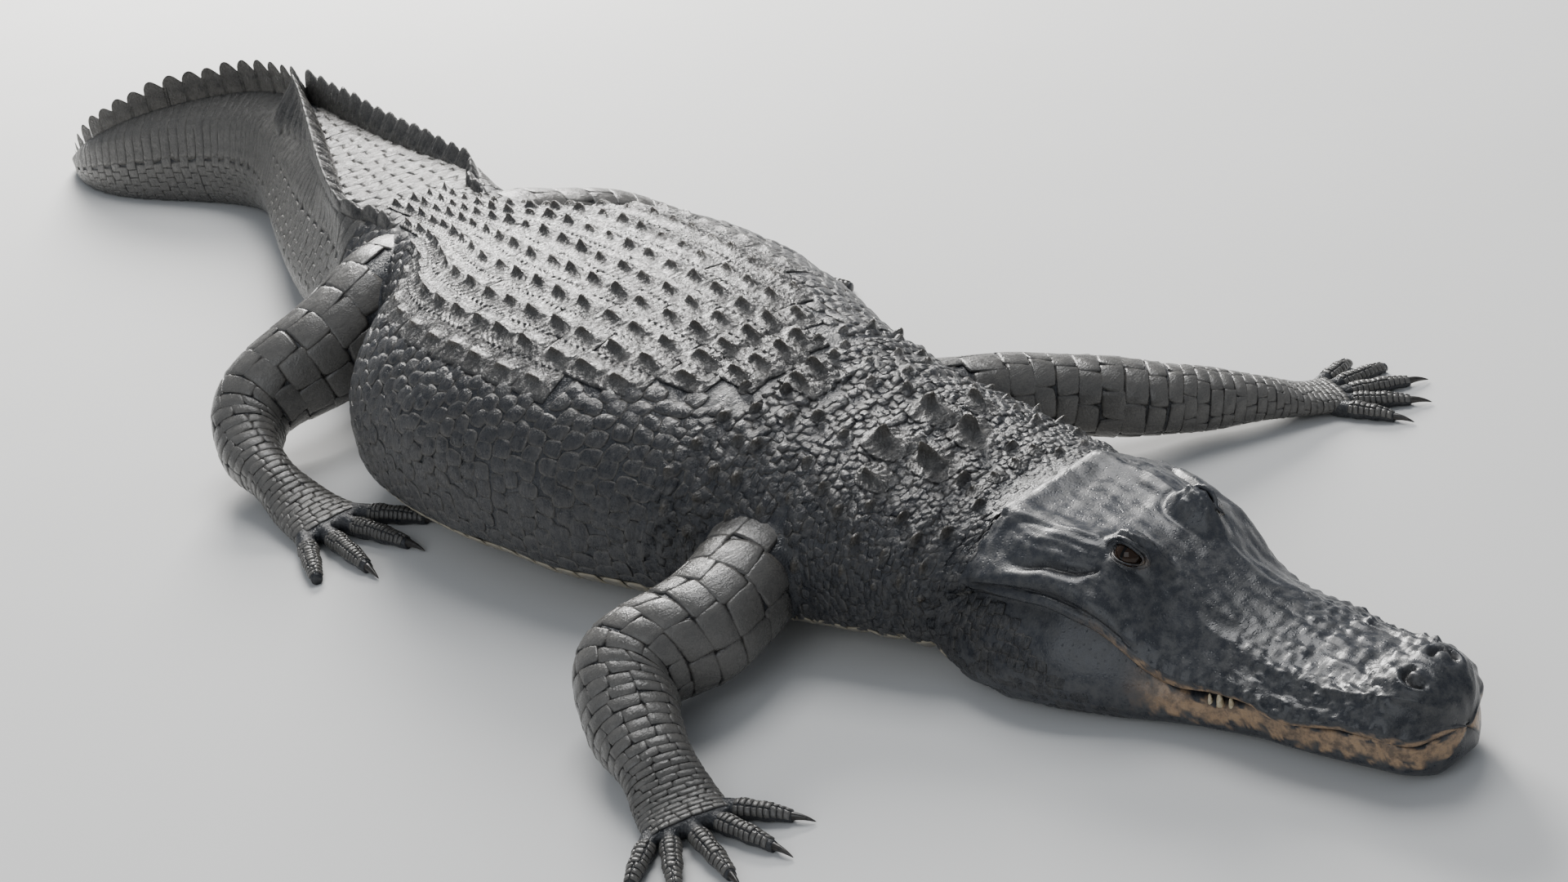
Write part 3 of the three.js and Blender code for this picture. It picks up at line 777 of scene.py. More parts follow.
@dataclass
class Coat:
    """Many scales of one kind laid over a form as one joined mesh.

    Attributes:
        name: Name of the piece.
        along: Faces along one scale.
        across: Faces across it.
        corner: Outline, from 0 for square to 1 for oval.
        relief: Height over the skin in millimetres.
        sink: Depth of the underside below the skin.
        upright: Whether heights go straight up.
        pull: Above 1, draws the faces to the middle of the scale, below 1 to its border.
        uneven: How far outlines are skewed by chance.
    """

    name: str
    along: int
    across: int
    corner: float
    relief: Relief
    sink: float = 2.0
    upright: bool = False
    pull: tuple[float, float] = (1.0, 1.0)
    uneven: float = 0.3

    def lay(self, spots: Sequence[tuple[Form, Seats]]) -> Object:
        """Makes the piece.

        Args:
            spots: Forms with the seats of the scales that lie on each.

        Returns:
            The joined piece, with its bake map and the values tone, rim and ridge.
        """
        count = sum(len(seats.u) for _, seats in spots)
        piece = finish_mesh(template(self.along, self.across), self.name)
        one = coordinates(piece.data)
        one[:, :2] = np.sign(one[:, :2]) * np.abs(one[:, :2]) ** self.pull
        copies = piece.modifiers.new("copies", "ARRAY")
        copies.count = count
        copies.use_relative_offset = False
        settle(piece)
        x = one[:, 0] * np.sqrt(1 - self.corner * one[:, 1] ** 2 / 2)
        y = one[:, 1] * np.sqrt(1 - self.corner * one[:, 0] ** 2 / 2)
        over = one[:, 2] > 0.5
        rim = 1 - np.maximum(np.abs(one[:, 0]), np.abs(one[:, 1]))
        spread = np.where(over, 1, 0.97)
        places, maps, tones, ridges, rims = [], [], [], [], []
        for k, (form, seats) in enumerate(spots):
            skew = (seats.tone[:, None] * 7.3) % 1 - 0.5
            taper = (seats.tone[:, None] * 13.7) % 1 - 0.5
            u = seats.u[:, None] + seats.du[:, None] * (x + self.uneven * skew * y) * spread
            v = seats.v[:, None] + seats.dv[:, None] * (y * (1 + self.uneven * taper * x)) * spread
            p, n = form.frame(u, v)
            if self.upright:
                n = np.broadcast_to([0.0, 0.0, 1.0], n.shape)
            high = np.where(over, self.relief(seats, one[None, :, 0], one[None, :, 1]), -self.sink)
            p = p + n * high[..., None]
            p[..., 2] = np.maximum(p[..., 2], np.where(over, 0.3, 0.6))
            places.append(p.reshape(-1, 3) * MM)
            low = seats.u.min()
            span = max(seats.u.max() - low, 1e-6)
            strip = (k + 0.03 + 0.94 * (seats.u - low) / span) / len(spots)
            root = np.stack([strip, 0.5 + 0.47 * seats.v], -1)
            maps.append((root[:, None] + PATCH / 2 * np.stack([x, y], -1)).reshape(-1, 2))
            tones.append(np.repeat(seats.tone, len(one)))
            ridges.append((high / np.maximum(seats.tall, 1)[:, None]).ravel())
            clear = np.minimum(seats.tall, 1)[:, None]
            rims.append(np.where(over, 1 - (1 - rim) * clear, 0).ravel())
        mesh = piece.data
        mesh.vertices.foreach_set("co", np.concatenate(places).astype(np.float32).ravel())
        layer = mesh.uv_layers.new(name=MAP_NAME)
        corner = np.empty(len(mesh.loops), np.int32)
        mesh.loops.foreach_get("vertex_index", corner)
        layer.data.foreach_set("uv", np.concatenate(maps)[corner].astype(np.float32).ravel())
        put_values(mesh, "tone", np.concatenate(tones))
        put_values(mesh, "rim", np.concatenate(rims))
        put_values(mesh, "ridge", np.concatenate(ridges))
        mesh.update()
        return piece


def fill_row(form: Form, u: float, half_u: float, v_from: float, v_to: float, width: float, shift: float,
             tall: float, lap: float = 0.94) -> list[list[float]]:
    """Seats side by side across one row of a form.

    Args:
        form: The form.
        u: Where the row is.
        half_u: Half of the row's pitch.
        v_from: Start of the row round the form.
        v_to: End of the row.
        width: Wanted width of a scale.
        shift: Share of a scale by which the row is set off.
        tall: Height of the scales.
        lap: Share of its room that a scale takes.

    Returns:
        Rows for Seats.gather.
    """
    v = np.linspace(v_from, v_to, 48)
    p = form.at(np.full(48, u), v)
    arc = np.concatenate([[0], np.cumsum(np.linalg.norm(np.diff(p, axis=0), axis=1))])
    count = max(1, round(arc[-1] / width))
    marks = (np.arange(count + 1) + shift) / count
    edges = np.interp(np.clip(marks, 0, 1) * arc[-1], arc, v)
    return [[u, (a + b) / 2, half_u * lap, (b - a) / 2 * lap, tall]
            for a, b in zip(edges[:-1], edges[1:]) if abs(b - a) > 0.3 * abs(v_to - v_from) / count]


@dataclass
class Eye:
    """One eyeball with the directions in which it looks.

    Attributes:
        body: The body whose head holds it.
        side: Side of the animal.
        half: Half length of the opening against the eyeball's radius.
        upper: Height of the opening above the eye's middle against the radius.
        lower: Its depth below the middle.
    """

    body: Body
    side: Side
    half: float = 1.20
    upper: float = 0.64
    lower: float = 0.50

    def __post_init__(self) -> None:
        """Finds the eye's middle and its axes."""
        forward, left, up = self.body.axes(EYE["s"])
        self.centre = self.body.place(np.array(EYE["s"]), np.array(self.side.value * EYE["lat"]),
                                      np.array(EYE["z"]))
        self.out = unit(left * self.side.value * 0.82 + up * 0.54 + forward * 0.16)
        self.ahead = unit(forward - self.out * (forward @ self.out))
        self.above = np.cross(self.out, self.ahead) * -self.side.value
        tilt = radians(-9)
        ahead = self.ahead * cos(tilt) + self.above * sin(tilt)
        self.above = self.above * cos(tilt) - self.ahead * sin(tilt)
        self.ahead = ahead

    def span(self, p: Array) -> tuple[Array, Array, Array, Array]:
        """Offsets of points from the eye's middle: ahead, above, out and distance."""
        d = p - self.centre
        return d @ self.ahead, d @ self.above, d @ self.out, np.linalg.norm(d, axis=-1)

    def opening(self, p: Array) -> Array:
        """How far points lie from the middle of the almond eye opening.

        Args:
            p: Points in millimetres.

        Returns:
            A share for each point, 1 on the opening's edge.
        """
        fore, above, _, _ = self.span(p)
        tall = np.where(above > 0, self.upper, self.lower) * EYE["radius"]
        return np.sqrt((fore / (self.half * EYE["radius"])) ** 2 + np.abs(above / tall) ** 1.6)

    def rim(self, grow: float, lift: float, thick: float, low: float, name: str) -> Object:
        """One fold of lid as a closed ring round the eye opening.

        Args:
            grow: Size of the ring against the opening.
            lift: Distance over the eyeball.
            thick: Half thickness of the upper lid.
            low: Share of that thickness left in the lower lid.
            name: Name of the piece.

        Returns:
            The ring.
        """
        r = EYE["radius"]
        around = np.linspace(0, tau, 81)
        ring = np.linspace(0, tau, 15)
        top = np.maximum(np.sin(around), 0)
        fore = np.cos(around) * self.half * r * grow
        above = (np.sign(np.sin(around)) * np.abs(np.sin(around)) ** 1.25 * r * grow
                 * np.where(np.sin(around) > 0, self.upper, self.lower))
        out = np.sqrt(np.maximum((r + lift) ** 2 - fore ** 2 - above ** 2, (0.34 * r) ** 2)) + 1.2 * top
        line = (self.centre + fore[:, None] * self.ahead + above[:, None] * self.above
                + out[:, None] * self.out)
        way = unit(line - self.centre)
        run = unit(np.roll(line[:-1], -1, axis=0) - np.roll(line[:-1], 1, axis=0))
        run = np.concatenate([run, run[:1]])
        aside = unit(np.cross(run, way))
        puff = thick * (low + (1.15 - low) * top ** 0.6)
        puff *= 1 + 0.09 * np.sin(around * 16 + grow * 5) + 0.06 * np.sin(around * 27 + grow * 9)
        points = (line[:, None] + way[:, None] * (np.cos(ring)[None, :] * puff[:, None])[..., None]
                  + aside[:, None] * (np.sin(ring)[None, :] * puff[:, None] * 0.85)[..., None])
        points[-1] = points[0]
        points[:, -1] = points[:, 0]
        return woven(points, name)

    def ball(self) -> Object:
        """The eyeball with its slightly raised cornea.

        Returns:
            The piece, with the values gaze and across.
        """
        bm = bmesh.new()
        bmesh.ops.create_uvsphere(bm, u_segments=64, v_segments=48, radius=1)
        turn = Matrix((self.ahead, self.above, self.out)).transposed()
        for v in bm.verts:
            cap = max(0.0, v.co.z - 0.72) / 0.28
            d = turn @ v.co * (EYE["radius"] * (1 + 0.05 * cap))
            v.co = (Vector(self.centre) + d) * MM
        bmesh.ops.recalc_face_normals(bm, faces=bm.faces)
        piece = finish_mesh(bm, f"eyeball_{self.side.name.lower()}")
        local = coordinates(piece.data) / MM - self.centre
        put_values(piece.data, "gaze", local @ self.out / EYE["radius"])
        put_values(piece.data, "across", local @ self.ahead / EYE["radius"])
        return piece


@dataclass
class Skin:
    """The one skin of head, body, tail, limbs and toes.

    Attributes:
        body: Form of head, trunk and tail.
        limbs: Forms of the limbs.
        eyes: The two eyes, round which the lids close.
        half_columns: Points from back midline to belly midline.
        limb_rings: Rings along a limb.
        limb_columns: Points round it.
        toe_rings: Rings along a toe.
        toe_columns: Points round it.
        floor_gap: Least height over the floor in millimetres.
    """

    body: Body
    limbs: Sequence[Limb]
    eyes: Sequence[Eye]
    half_columns: int = 81
    limb_rings: int = 84
    limb_columns: int = 41
    toe_rings: int = 30
    toe_columns: int = 17
    floor_gap: float = 0.8

    def stations(self) -> tuple[Array, Array]:
        """Where the skin's rings lie.

        Returns:
            Distances of the rings, and how much each is drawn in at the two tips.
        """
        dome = np.linspace(0, pi / 2, 8)[:-1]
        front = 1.2 + 4.4 * (1 - np.cos(dome))
        stretches = [(5.6, 14, 1.6), (14, 60, 2.2), (60, 276, 3.0), (276, 372, 2.1), (372, 480, 2.8),
                     (480, 560, 4.5), (560, 1720, 9.5), (1720, TAIL_TIP - 10, 10.5)]
        middle = [np.linspace(a, b, max(2, round((b - a) / gap)), endpoint=False) for a, b, gap in stretches]
        end = TAIL_TIP - 10 * np.cos(dome)
        s = np.concatenate([front, *middle, end, [TAIL_TIP]])
        draw = np.concatenate([np.sin(dome), *(np.ones(len(m)) for m in middle), np.cos(dome), [0]])
        return s, draw

    def columns(self, s: Array) -> Array:
        """Coordinates round the body: fine over head and lips, even on the trunk.

        Args:
            s: Distances of the rings.

        Returns:
            One row of coordinates for each ring.
        """
        keys = [0, 20, 46, 60, 72, 80]
        order = np.arange(self.half_columns)
        head = np.interp(order, keys, [0, 0.19, 0.40, 0.475, 0.7, 1])
        even = np.interp(order, keys, [0, 0.2, 0.44, 0.58, 0.8, 1])
        share = ease((s - 480) / 240)[:, None]
        half = head * (1 - share) + even * share
        return np.concatenate([-half[:, ::-1], half[:, 1:]], axis=1)

    def trunk_mesh(self) -> Object:
        """Head, trunk and tail with folds, lids, ears and nostrils shaped in.

        Returns:
            The closed tube of the body.
        """
        s, draw = self.stations()
        v = self.columns(s)
        u = np.repeat(s[:, None], v.shape[1], 1)
        lat, z = self.body.section(u.ravel(), v.ravel())
        lat = lat.reshape(u.shape) * draw[:, None]
        middle = np.where(u < 100, 47.0, 9.0)
        z = middle + (z.reshape(u.shape) - middle) * draw[:, None]
        p = self.body.place(u, lat, z)
        along = np.gradient(p, axis=0)
        across = np.gradient(p, axis=1)
        n = unit(np.cross(across, along))
        a = np.abs(v)
        self.shape_head(p, n, u, a, lat, z)
        self.shape_trunk(p, n, u)
        p[..., 2] = np.maximum(p[..., 2], self.floor_gap)
        p[:, -1] = p[:, 0]
        p[0] = p[0].mean(axis=0)
        p[-1] = p[-1].mean(axis=0)
        self.marks = self.masks(p, u, a, lat)
        self.mark_places = p.reshape(-1, 3)
        return woven(p, "skin")

    def shape_head(self, p: Array, n: Array, u: Array, a: Array, lat: Array, z: Array) -> None:
        """Moves the head's points into bumps, nostrils, ears, folds and eye openings.

        Args:
            p: Points, changed in place.
            n: Outward normals.
            u: Stations.
            a: Shares of the way round.
            lat: Distances from the midline.
            z: Heights.
        """
        curve = self.body.curves
        aside = np.abs(lat)
        edge = curve["edge_lat"](u)
        head = 1 - ease((u - 470) / 60)
        upper = ease((0.40 - a) / 0.04)
        # Knobbly snout, coarse in front and finer towards the eyes.
        front = ease((u - 26) / 40) * ease((262 - u) / 130) * upper
        knobs = waves(p, 17, 1)
        push = (np.abs(knobs) * 2.2 - 1.0 + waves(p, 8, 2) * 0.6) * front
        push += waves(p, 19, 3) * 0.45 * head * upper * (1 - front)
        # Swellings over the roots of the teeth along both lips.
        over_lip = bell(a - 0.365, 0.035) * ease((300 - u) / 60)
        push += over_lip * (1.3 * np.cos(u * tau / 17) + 0.6)
        push += bell(a - 0.53, 0.05) * ease((290 - u) / 60) * np.cos(u * tau / 19) * 0.9
        # Raised nose disc, and a ridge from each eye down the snout with a hollow between.
        disc = np.hypot((u - 36) / 1.15, lat)
        push += 4.0 * ease((44 - disc) / 14) - 2.5 * bell(disc - 49, 7) * upper
        spine = 30 + (u - 230) * 0.10
        push += 3.6 * bell(aside - spine, 8) * bell(u - 256, 40) * upper
        push -= 3.4 * bell(aside, 17) * bell(u - 292, 42)
        push += 1.6 * bell(aside, 9) * bell(u - 150, 60) * upper
        # Nostrils: crescents that open backwards and outwards.
        ring = np.hypot((u - 33) / 9.5, (aside - 19) / 8.5)
        facing = np.arctan2((aside - 19) / 8.5, (u - 33) / 9.5)
        nostril = bell(ring - 1, 0.30) * ease((2.2 - np.abs(facing - 0.9)) / 0.8) * upper
        push -= 7.5 * nostril
        push += 2.6 * bell(ring, 0.75) * upper + 1.2 * bell(ring - 1.75, 0.35) * upper
        # Skull table: raised outer ridge and rear crest round a slightly hollow crown.
        table = ease((u - 338) / 26) * ease((478 - u) / 10)
        push += 1.6 * bell(aside - edge + 9, 9) * table * upper
        push -= 3.0 * bell(aside - edge - 1, 5) * table * upper
        push += 1.6 * bell(u - 458, 9) * ease((edge - 2 - aside) / 16) * upper
        push -= 2.4 * bell(np.hypot(u - 466, aside - edge), 13) * upper
        push -= 2.2 * ease((edge - 12 - aside) / 22) * ease((u - 350) / 30) * ease((452 - u) / 20)
        # Ear: a full cushion behind the eye with the slit along its lower edge.
        drop = z - (curve["edge_z"](u) - 21 - 5 * ease((u - 380) / 40))
        beside = ease((aside - edge + 10) / 8) * upper
        cushion = ease((u - 338) / 16) * ease((446 - u) / 26)
        slit = bell(drop, 2.0) * ease((u - 334) / 8) * ease((424 - u) / 26) * beside
        round_ear = np.sqrt(((u - 392) / 50) ** 2 + ((drop - 13) / 15) ** 2)
        push += 4.6 * ease((1.1 - round_ear) / 0.8) * beside
        push -= 1.8 * bell(round_ear - 1.12, 0.13) * beside * ease(drop / 6)
        push += 3.0 * bell(drop + 8, 6) * ease((u - 330) / 20) * ease((436 - u) / 40) * beside
        push -= 5.5 * slit
        lines = np.cos((drop - 0.12 * (u - 390)) * tau / 6.5) * 0.5
        push += lines * bell(drop - 12, 12) * cushion * beside
        # Cheek: a deep crease from below the eye to the mouth corner, with rolls above and under it.
        crease_z = curve["lip_z"](u) + np.interp(u, [270, 330, 400, 450], [16, 15, 12, 6])
        low = z - crease_z
        crease = bell(low, 2.6) * ease((u - 272) / 30) * ease((468 - u) / 16)
        push -= 5.0 * crease
        push += 3.0 * bell(low - 9, 6) * ease((u - 290) / 40) * ease((462 - u) / 20)
        push += 3.6 * bell(low + 10, 6) * ease((u - 310) / 40) * ease((466 - u) / 20)
        second = bell(low + 21 - 0.10 * (u - 380), 2.4) * ease((u - 352) / 24) * ease((470 - u) / 18)
        push -= 3.2 * second
        # Neck folds that run from the table corner down behind the jowl.
        corner = ease((a - 0.10) / 0.08) * ease((0.8 - a) / 0.12)
        for at, deep in ((466, 2.0), (482, 2.8), (497, 2.4)):
            push -= deep * bell(u - at - 34 * (a - 0.35), 4.0) * corner
        jowl = bell(u - 410, 62) * ease((a - 0.47) / 0.06) * ease((0.9 - a) / 0.1)
        push += waves(p * np.array([1, 1, 2.2]), 40, 4) * 1.6 * jowl
        p += n * push[..., None]
        for eye in self.eyes:
            self.shape_lids(p, eye, lat, u)
        self.nostril_mask = nostril
        self.slit_mask = slit
        self.crease_mask = np.maximum(crease, second * 0.8)

    def shape_lids(self, p: Array, eye: Eye, lat: Array, u: Array) -> None:
        """Raises the lid dome over one eyeball, opens the skin and folds the lids round it.

        Args:
            p: Points, changed in place.
            eye: The eye.
            lat: Distances from the midline.
            u: Stations.
        """
        r = EYE["radius"]
        ours = np.sign(lat) == eye.side.value
        dome = np.hypot((u - EYE["s"] + 1) / 27, (np.abs(lat) - EYE["lat"] + 10) / 17)
        rough = 1 + 0.22 * waves(p, 8, 21)
        p[..., 2] += ours * (ease((1.25 - dome) / 0.7) * 7.5 * rough - 2.0 * bell(dome - 1.35, 0.16))
        _, above, out, far = eye.span(p)
        near = ours & (far < 60) & (out > -r * 0.6)
        e = eye.opening(p)
        way = unit(p - eye.centre)
        folds = (np.cos((e - 1.30) * tau / 0.50) * 1.1 * np.exp(-((e - 1.65) / 0.8) ** 2)
                 * ease((e - 1.1) / 0.3))
        hood = 3.6 * ease((e - 0.95) / 0.5) * ease(above / 4 + 0.5)
        lid = r + 1.4 + hood + folds
        raised = np.maximum(far, lid * ease((2.4 - e) / 0.7))
        wanted = np.where(e < 1.02, r - 3.2, np.where(e < 2.4, raised, far))
        p[near] = (eye.centre + way * wanted[..., None])[near]

    def shape_trunk(self, p: Array, n: Array, u: Array) -> None:
        """Moves the neck's and trunk's points into soft wrinkles."""
        push = (waves(p * np.array([2.4, 1, 1]), 40, 5) * 0.5 - 0.9) * ease((u - 480) / 80)
        p += n * push[..., None]

    def masks(self, p: Array, u: Array, a: Array, lat: Array) -> dict[str, Array]:
        """Colour masks of the skin.

        Args:
            p: Points.
            u: Stations.
            a: Shares of the way round.
            lat: Distances from the midline.

        Returns:
            Numbers from 0 to 1 for each point, by the name of the mask.
        """
        jaw = ease((300 - u) / 60)
        uneven = waves(p, 13, 8) * 0.014 + waves(p, 5, 9) * 0.010
        lower = ease((a + uneven - 0.452) / 0.012) * ease((0.565 - a + uneven * 1.5) / 0.03) * jaw
        upper = ease((a + uneven * 0.6 - 0.392) / 0.014) * ease((0.43 - a) / 0.01) * ease((350 - u) / 80)
        lids = np.zeros(u.shape)
        for eye in self.eyes:
            fore, above, _, far = eye.span(p)
            ours = (np.sign(lat) == eye.side.value) & (far < 40)
            low = ease(0.3 - above / EYE["radius"] + 0.3 * fore / EYE["radius"])
            lids += ours * bell(eye.opening(p) - 1.12, 0.12) * low * 0.6
        mouth = bell(a - 0.441, 0.010) * ease((470 - u) / 40)
        pale = ease((a - 0.72) / 0.14) * ease((TAIL_TIP - u) / 1600 + 0.2) * ease((u - 14) / 60)
        # Painted shade: the dark mask blackens the mouth line, nostrils, ear slits and cheek creases where
        # shade falls.
        dark = np.clip(mouth + self.nostril_mask + self.slit_mask * 0.8 + self.crease_mask * 0.55, 0, 1)
        lip = np.clip(np.maximum(lower, upper * 0.85) + lids * 0.7, 0, 1)
        return {"lip": lip, "pale": pale, "dark": dark, "smooth": 1 - ease((u - 440) / 90)}

    def limb_mesh(self, limb: Limb, name: str) -> Object:
        """One limb as a closed tube with a rounded palm.

        Args:
            limb: The limb.
            name: Name of the piece.

        Returns:
            The tube.
        """
        rounds = np.linspace(0, pi / 2, 6)
        palm = 0.985
        t = np.concatenate([np.linspace(0, palm, self.limb_rings), palm + (1 - palm) * np.sin(rounds[1:])])
        draw = np.concatenate([np.ones(self.limb_rings), np.cos(rounds[1:])])
        draw[0] = 0
        v = np.linspace(-1, 1, self.limb_columns)
        p = limb.at(t[:, None], v[None, :])
        middle = p.mean(axis=1, keepdims=True)
        p = middle + (p - middle) * draw[:, None, None]
        p -= unit(p - middle) * 0.5 * draw[:, None, None]
        p[..., 2] = np.maximum(p[..., 2], self.floor_gap)
        p[:, -1] = p[:, 0]
        return woven(p, name)

    def toe_mesh(self, toe: Toe, name: str) -> Object:
        """One toe as a closed tube.

        Args:
            toe: The toe.
            name: Name of the piece.

        Returns:
            The tube.
        """
        t = np.concatenate([[0], np.linspace(0, 1, self.toe_rings), [1]])
        v = np.linspace(-1, 1, self.toe_columns)
        p = toe.at(t[:, None], v[None, :])
        for end in (0, -1):
            p[end] = p[end].mean(axis=0)
        p[:, -1] = p[:, 0]
        return woven(p, name)

    def build(self) -> Object:
        """Joins everything into one closed skin, softens the joins and stores the masks.

        Returns:
            The skin.
        """
        skin = self.trunk_mesh()
        parts = []
        for limb, word in zip(self.limbs, ("a", "b", "c", "d")):
            parts.append(self.limb_mesh(limb, f"limb_{word}"))
            parts += [self.toe_mesh(toe, f"toe_{word}_{i}") for i, toe in enumerate(limb.toes())]
        folds = []
        for eye in self.eyes:
            word = eye.side.name.lower()
            folds.append(eye.rim(1.0, 1.2, 1.9, 0.6, f"lid_{word}"))
            folds.append(eye.rim(1.34, 4.2, 2.4, 0.2, f"fold_{word}"))
        known = search_tree(np.concatenate([coordinates(o.data) for o in (skin, *parts, *folds)]))
        group = bpy.data.collections.new("parts")
        bpy.context.scene.collection.children.link(group)
        for o in parts + folds:
            bpy.context.scene.collection.objects.unlink(o)
            group.objects.link(o)
        join = skin.modifiers.new("join", "BOOLEAN")
        join.operation = "UNION"
        join.operand_type = "COLLECTION"
        join.collection = group
        join.solver = "MANIFOLD"
        settle(skin)
        for o in parts + folds:
            bpy.data.meshes.remove(o.data)
        bpy.data.collections.remove(group)
        self.soften(skin.data, known)
        self.store(skin.data)
        return skin

    def soften(self, mesh: Mesh, known: KDTree) -> None:
        """Rounds the creases where limbs and toes meet the body.

        Args:
            mesh: The joined skin.
            known: Places of the vertices before the join; any other vertex lies on a join.
        """
        co = coordinates(mesh)
        head_x = self.body.place(np.array(480.0), np.array(0.0), np.array(0.0))[0] * MM
        fresh = [i for i, c in enumerate(co) if c[0] < head_x and known.find(c)[2] > 5e-6]
        near = search_tree(co[fresh])
        gap = np.array([near.find(c)[2] if c[0] < head_x else 1.0 for c in co])
        for reach, turns in ((0.030, 5), (0.018, 6), (0.008, 3)):
            bm = bmesh.new()
            bm.from_mesh(mesh)
            bm.verts.ensure_lookup_table()
            high = co[:, 2] > 0.03
            chosen = [bm.verts[i] for i in np.flatnonzero((gap < reach) & (high | (reach < 0.01)))]
            for _ in range(turns):
                bmesh.ops.smooth_vert(bm, verts=chosen, factor=0.5, use_axis_x=True, use_axis_y=True,
                                      use_axis_z=True)
            bm.to_mesh(mesh)
            bm.free()

    def store(self, mesh: Mesh) -> None:
        """Writes the masks to the joined skin from the nearest point of the body's rings.

        Args:
            mesh: The joined skin.
        """
        tree = search_tree(self.mark_places * MM)
        found = [tree.find(c) for c in coordinates(mesh)]
        index = np.array([f[1] for f in found])
        close = np.array([f[2] for f in found]) < 0.009
        for name, values in self.marks.items():
            put_values(mesh, name, np.where(close, values.ravel()[index], 0))
        put_values(mesh, "limb", np.where(close, 0, 1))


class Graph:
    """Short way to add and link shader nodes."""

    def __init__(self, tree: NodeTree) -> None:
        """Starts on an empty tree."""
        self.tree = tree

    def add(self, kind: str, inputs: dict[str | int, object] | None = None,
            **options: object) -> Node:
        """Adds a node.

        Args:
            kind: Node type without its ShaderNode prefix.
            inputs: Values or sockets for its inputs.
            options: Properties of the node.

        Returns:
            The node.
        """
        node = self.tree.nodes.new(f"ShaderNode{kind}")
        for key, value in options.items():
            setattr(node, key, value)
        for key, value in (inputs or {}).items():
            if isinstance(value, NodeSocket):
                self.tree.links.new(value, node.inputs[key])
            else:
                node.inputs[key].default_value = value
        return node

    def math(self, how: str, a: object, b: object = 0.0, clamp: bool = False) -> NodeSocket:
        """Result of a sum or other operation on two numbers."""
        return self.add("Math", {0: a, 1: b}, operation=how, use_clamp=clamp).outputs[0]

    def mix(self, share: object, a: object, b: object) -> NodeSocket:
        """Colour between two, by the share of the second."""
        return self.add("Mix", {0: share, 6: a, 7: b}, data_type="RGBA").outputs[2]

    def range(self, value: object, low: float, high: float, to_low: float = 0.0,
              to_high: float = 1.0) -> NodeSocket:
        """Value brought from one range to another and held there."""
        return self.add("MapRange", {"Value": value, "From Min": low, "From Max": high, "To Min": to_low,
                                     "To Max": to_high}).outputs["Result"]

    def mark(self, name: str) -> NodeSocket:
        """A value stored on the mesh."""
        return self.add("Attribute", attribute_name=name).outputs["Fac"]


def start_material(name: str) -> tuple[Material, Graph, NodeSocket]:
    """Starts an empty material.

    Args:
        name: Name of the material.

    Returns:
        The material, its graph and the object's coordinates.
    """
    material = bpy.data.materials.new(name)
    material.use_nodes = True
    material.node_tree.nodes.clear()
    g = Graph(material.node_tree)
    return material, g, g.add("TexCoord").outputs["Object"]


def effect(name: str, outputs: Sequence[str]) -> tuple[NodeTree, Graph, NodeSocket,
                                                       Node]:
    """Starts a shader node group that takes a vector and gives values.

    Args:
        name: Name of the group.
        outputs: Names of its values.

    Returns:
        The group, its graph, the vector socket and the output node.
    """
    tree = bpy.data.node_groups.new(name, "ShaderNodeTree")
    tree.interface.new_socket(name="Vector", in_out="INPUT", socket_type="NodeSocketVector")
    for word in outputs:
        tree.interface.new_socket(name=word, in_out="OUTPUT", socket_type="NodeSocketFloat")
    start = tree.nodes.new("NodeGroupInput")
    end = tree.nodes.new("NodeGroupOutput")
    return tree, Graph(tree), start.outputs["Vector"], end


def grain_effect() -> NodeTree:
    """Fine leathery grain: pebbles, pits, and creases that run across the animal.

    Returns:
        The node group.
    """
    tree, g, vector, end = effect("hide grain", ("Pebbles", "Pits", "Creases"))
    warp = g.add("TexNoise", {"Vector": vector, "Scale": 30.0, "Detail": 2.0}).outputs["Color"]
    small = g.add("VectorMath", {0: warp}, operation="SCALE")
    small.inputs["Scale"].default_value = 0.012
    moved = g.add("VectorMath", {0: vector, 1: small.outputs[0]}, operation="ADD").outputs[0]
    edge = g.add("TexVoronoi", {"Vector": moved, "Scale": 260.0}, feature="DISTANCE_TO_EDGE")
    g.tree.links.new(g.range(edge.outputs["Distance"], 0.0, 0.35), end.inputs["Pebbles"])
    spot = g.add("TexVoronoi", {"Vector": moved, "Scale": 190.0}, feature="F1").outputs["Distance"]
    g.tree.links.new(g.range(spot, 0.06, 0.26, 1.0, 0.0), end.inputs["Pits"])
    across = g.add("Mapping", {"Vector": moved}, vector_type="POINT")
    across.inputs["Scale"].default_value = (3.2, 1.0, 1.4)
    lines = g.add("TexNoise", {"Vector": across.outputs[0], "Scale": 46.0, "Detail": 5.0, "Roughness": 0.62,
                               "Distortion": 0.5}).outputs["Fac"]
    off = g.math("ABSOLUTE", g.math("MULTIPLY", g.math("SUBTRACT", lines, 0.5), 4.0))
    g.tree.links.new(g.math("POWER", g.math("SUBTRACT", 1.0, off, clamp=True), 2.0), end.inputs["Creases"])
    return tree


def mottle_effect() -> NodeTree:
    """Cloudy light and dark over the whole animal, with fine specks.

    Returns:
        The node group.
    """
    tree, g, vector, end = effect("hide mottle", ("Cloud", "Specks"))
    for name, scale, detail, rough, low, high in (("Cloud", 7.0, 6.0, 0.6, 0.3, 0.7),
                                                  ("Specks", 95.0, 5.0, 0.7, 0.42, 0.62)):
        noise = g.add("TexNoise", {"Vector": vector, "Scale": scale, "Detail": detail, "Roughness": rough})
        g.tree.links.new(g.range(noise.outputs["Fac"], low, high), end.inputs[name])
    return tree


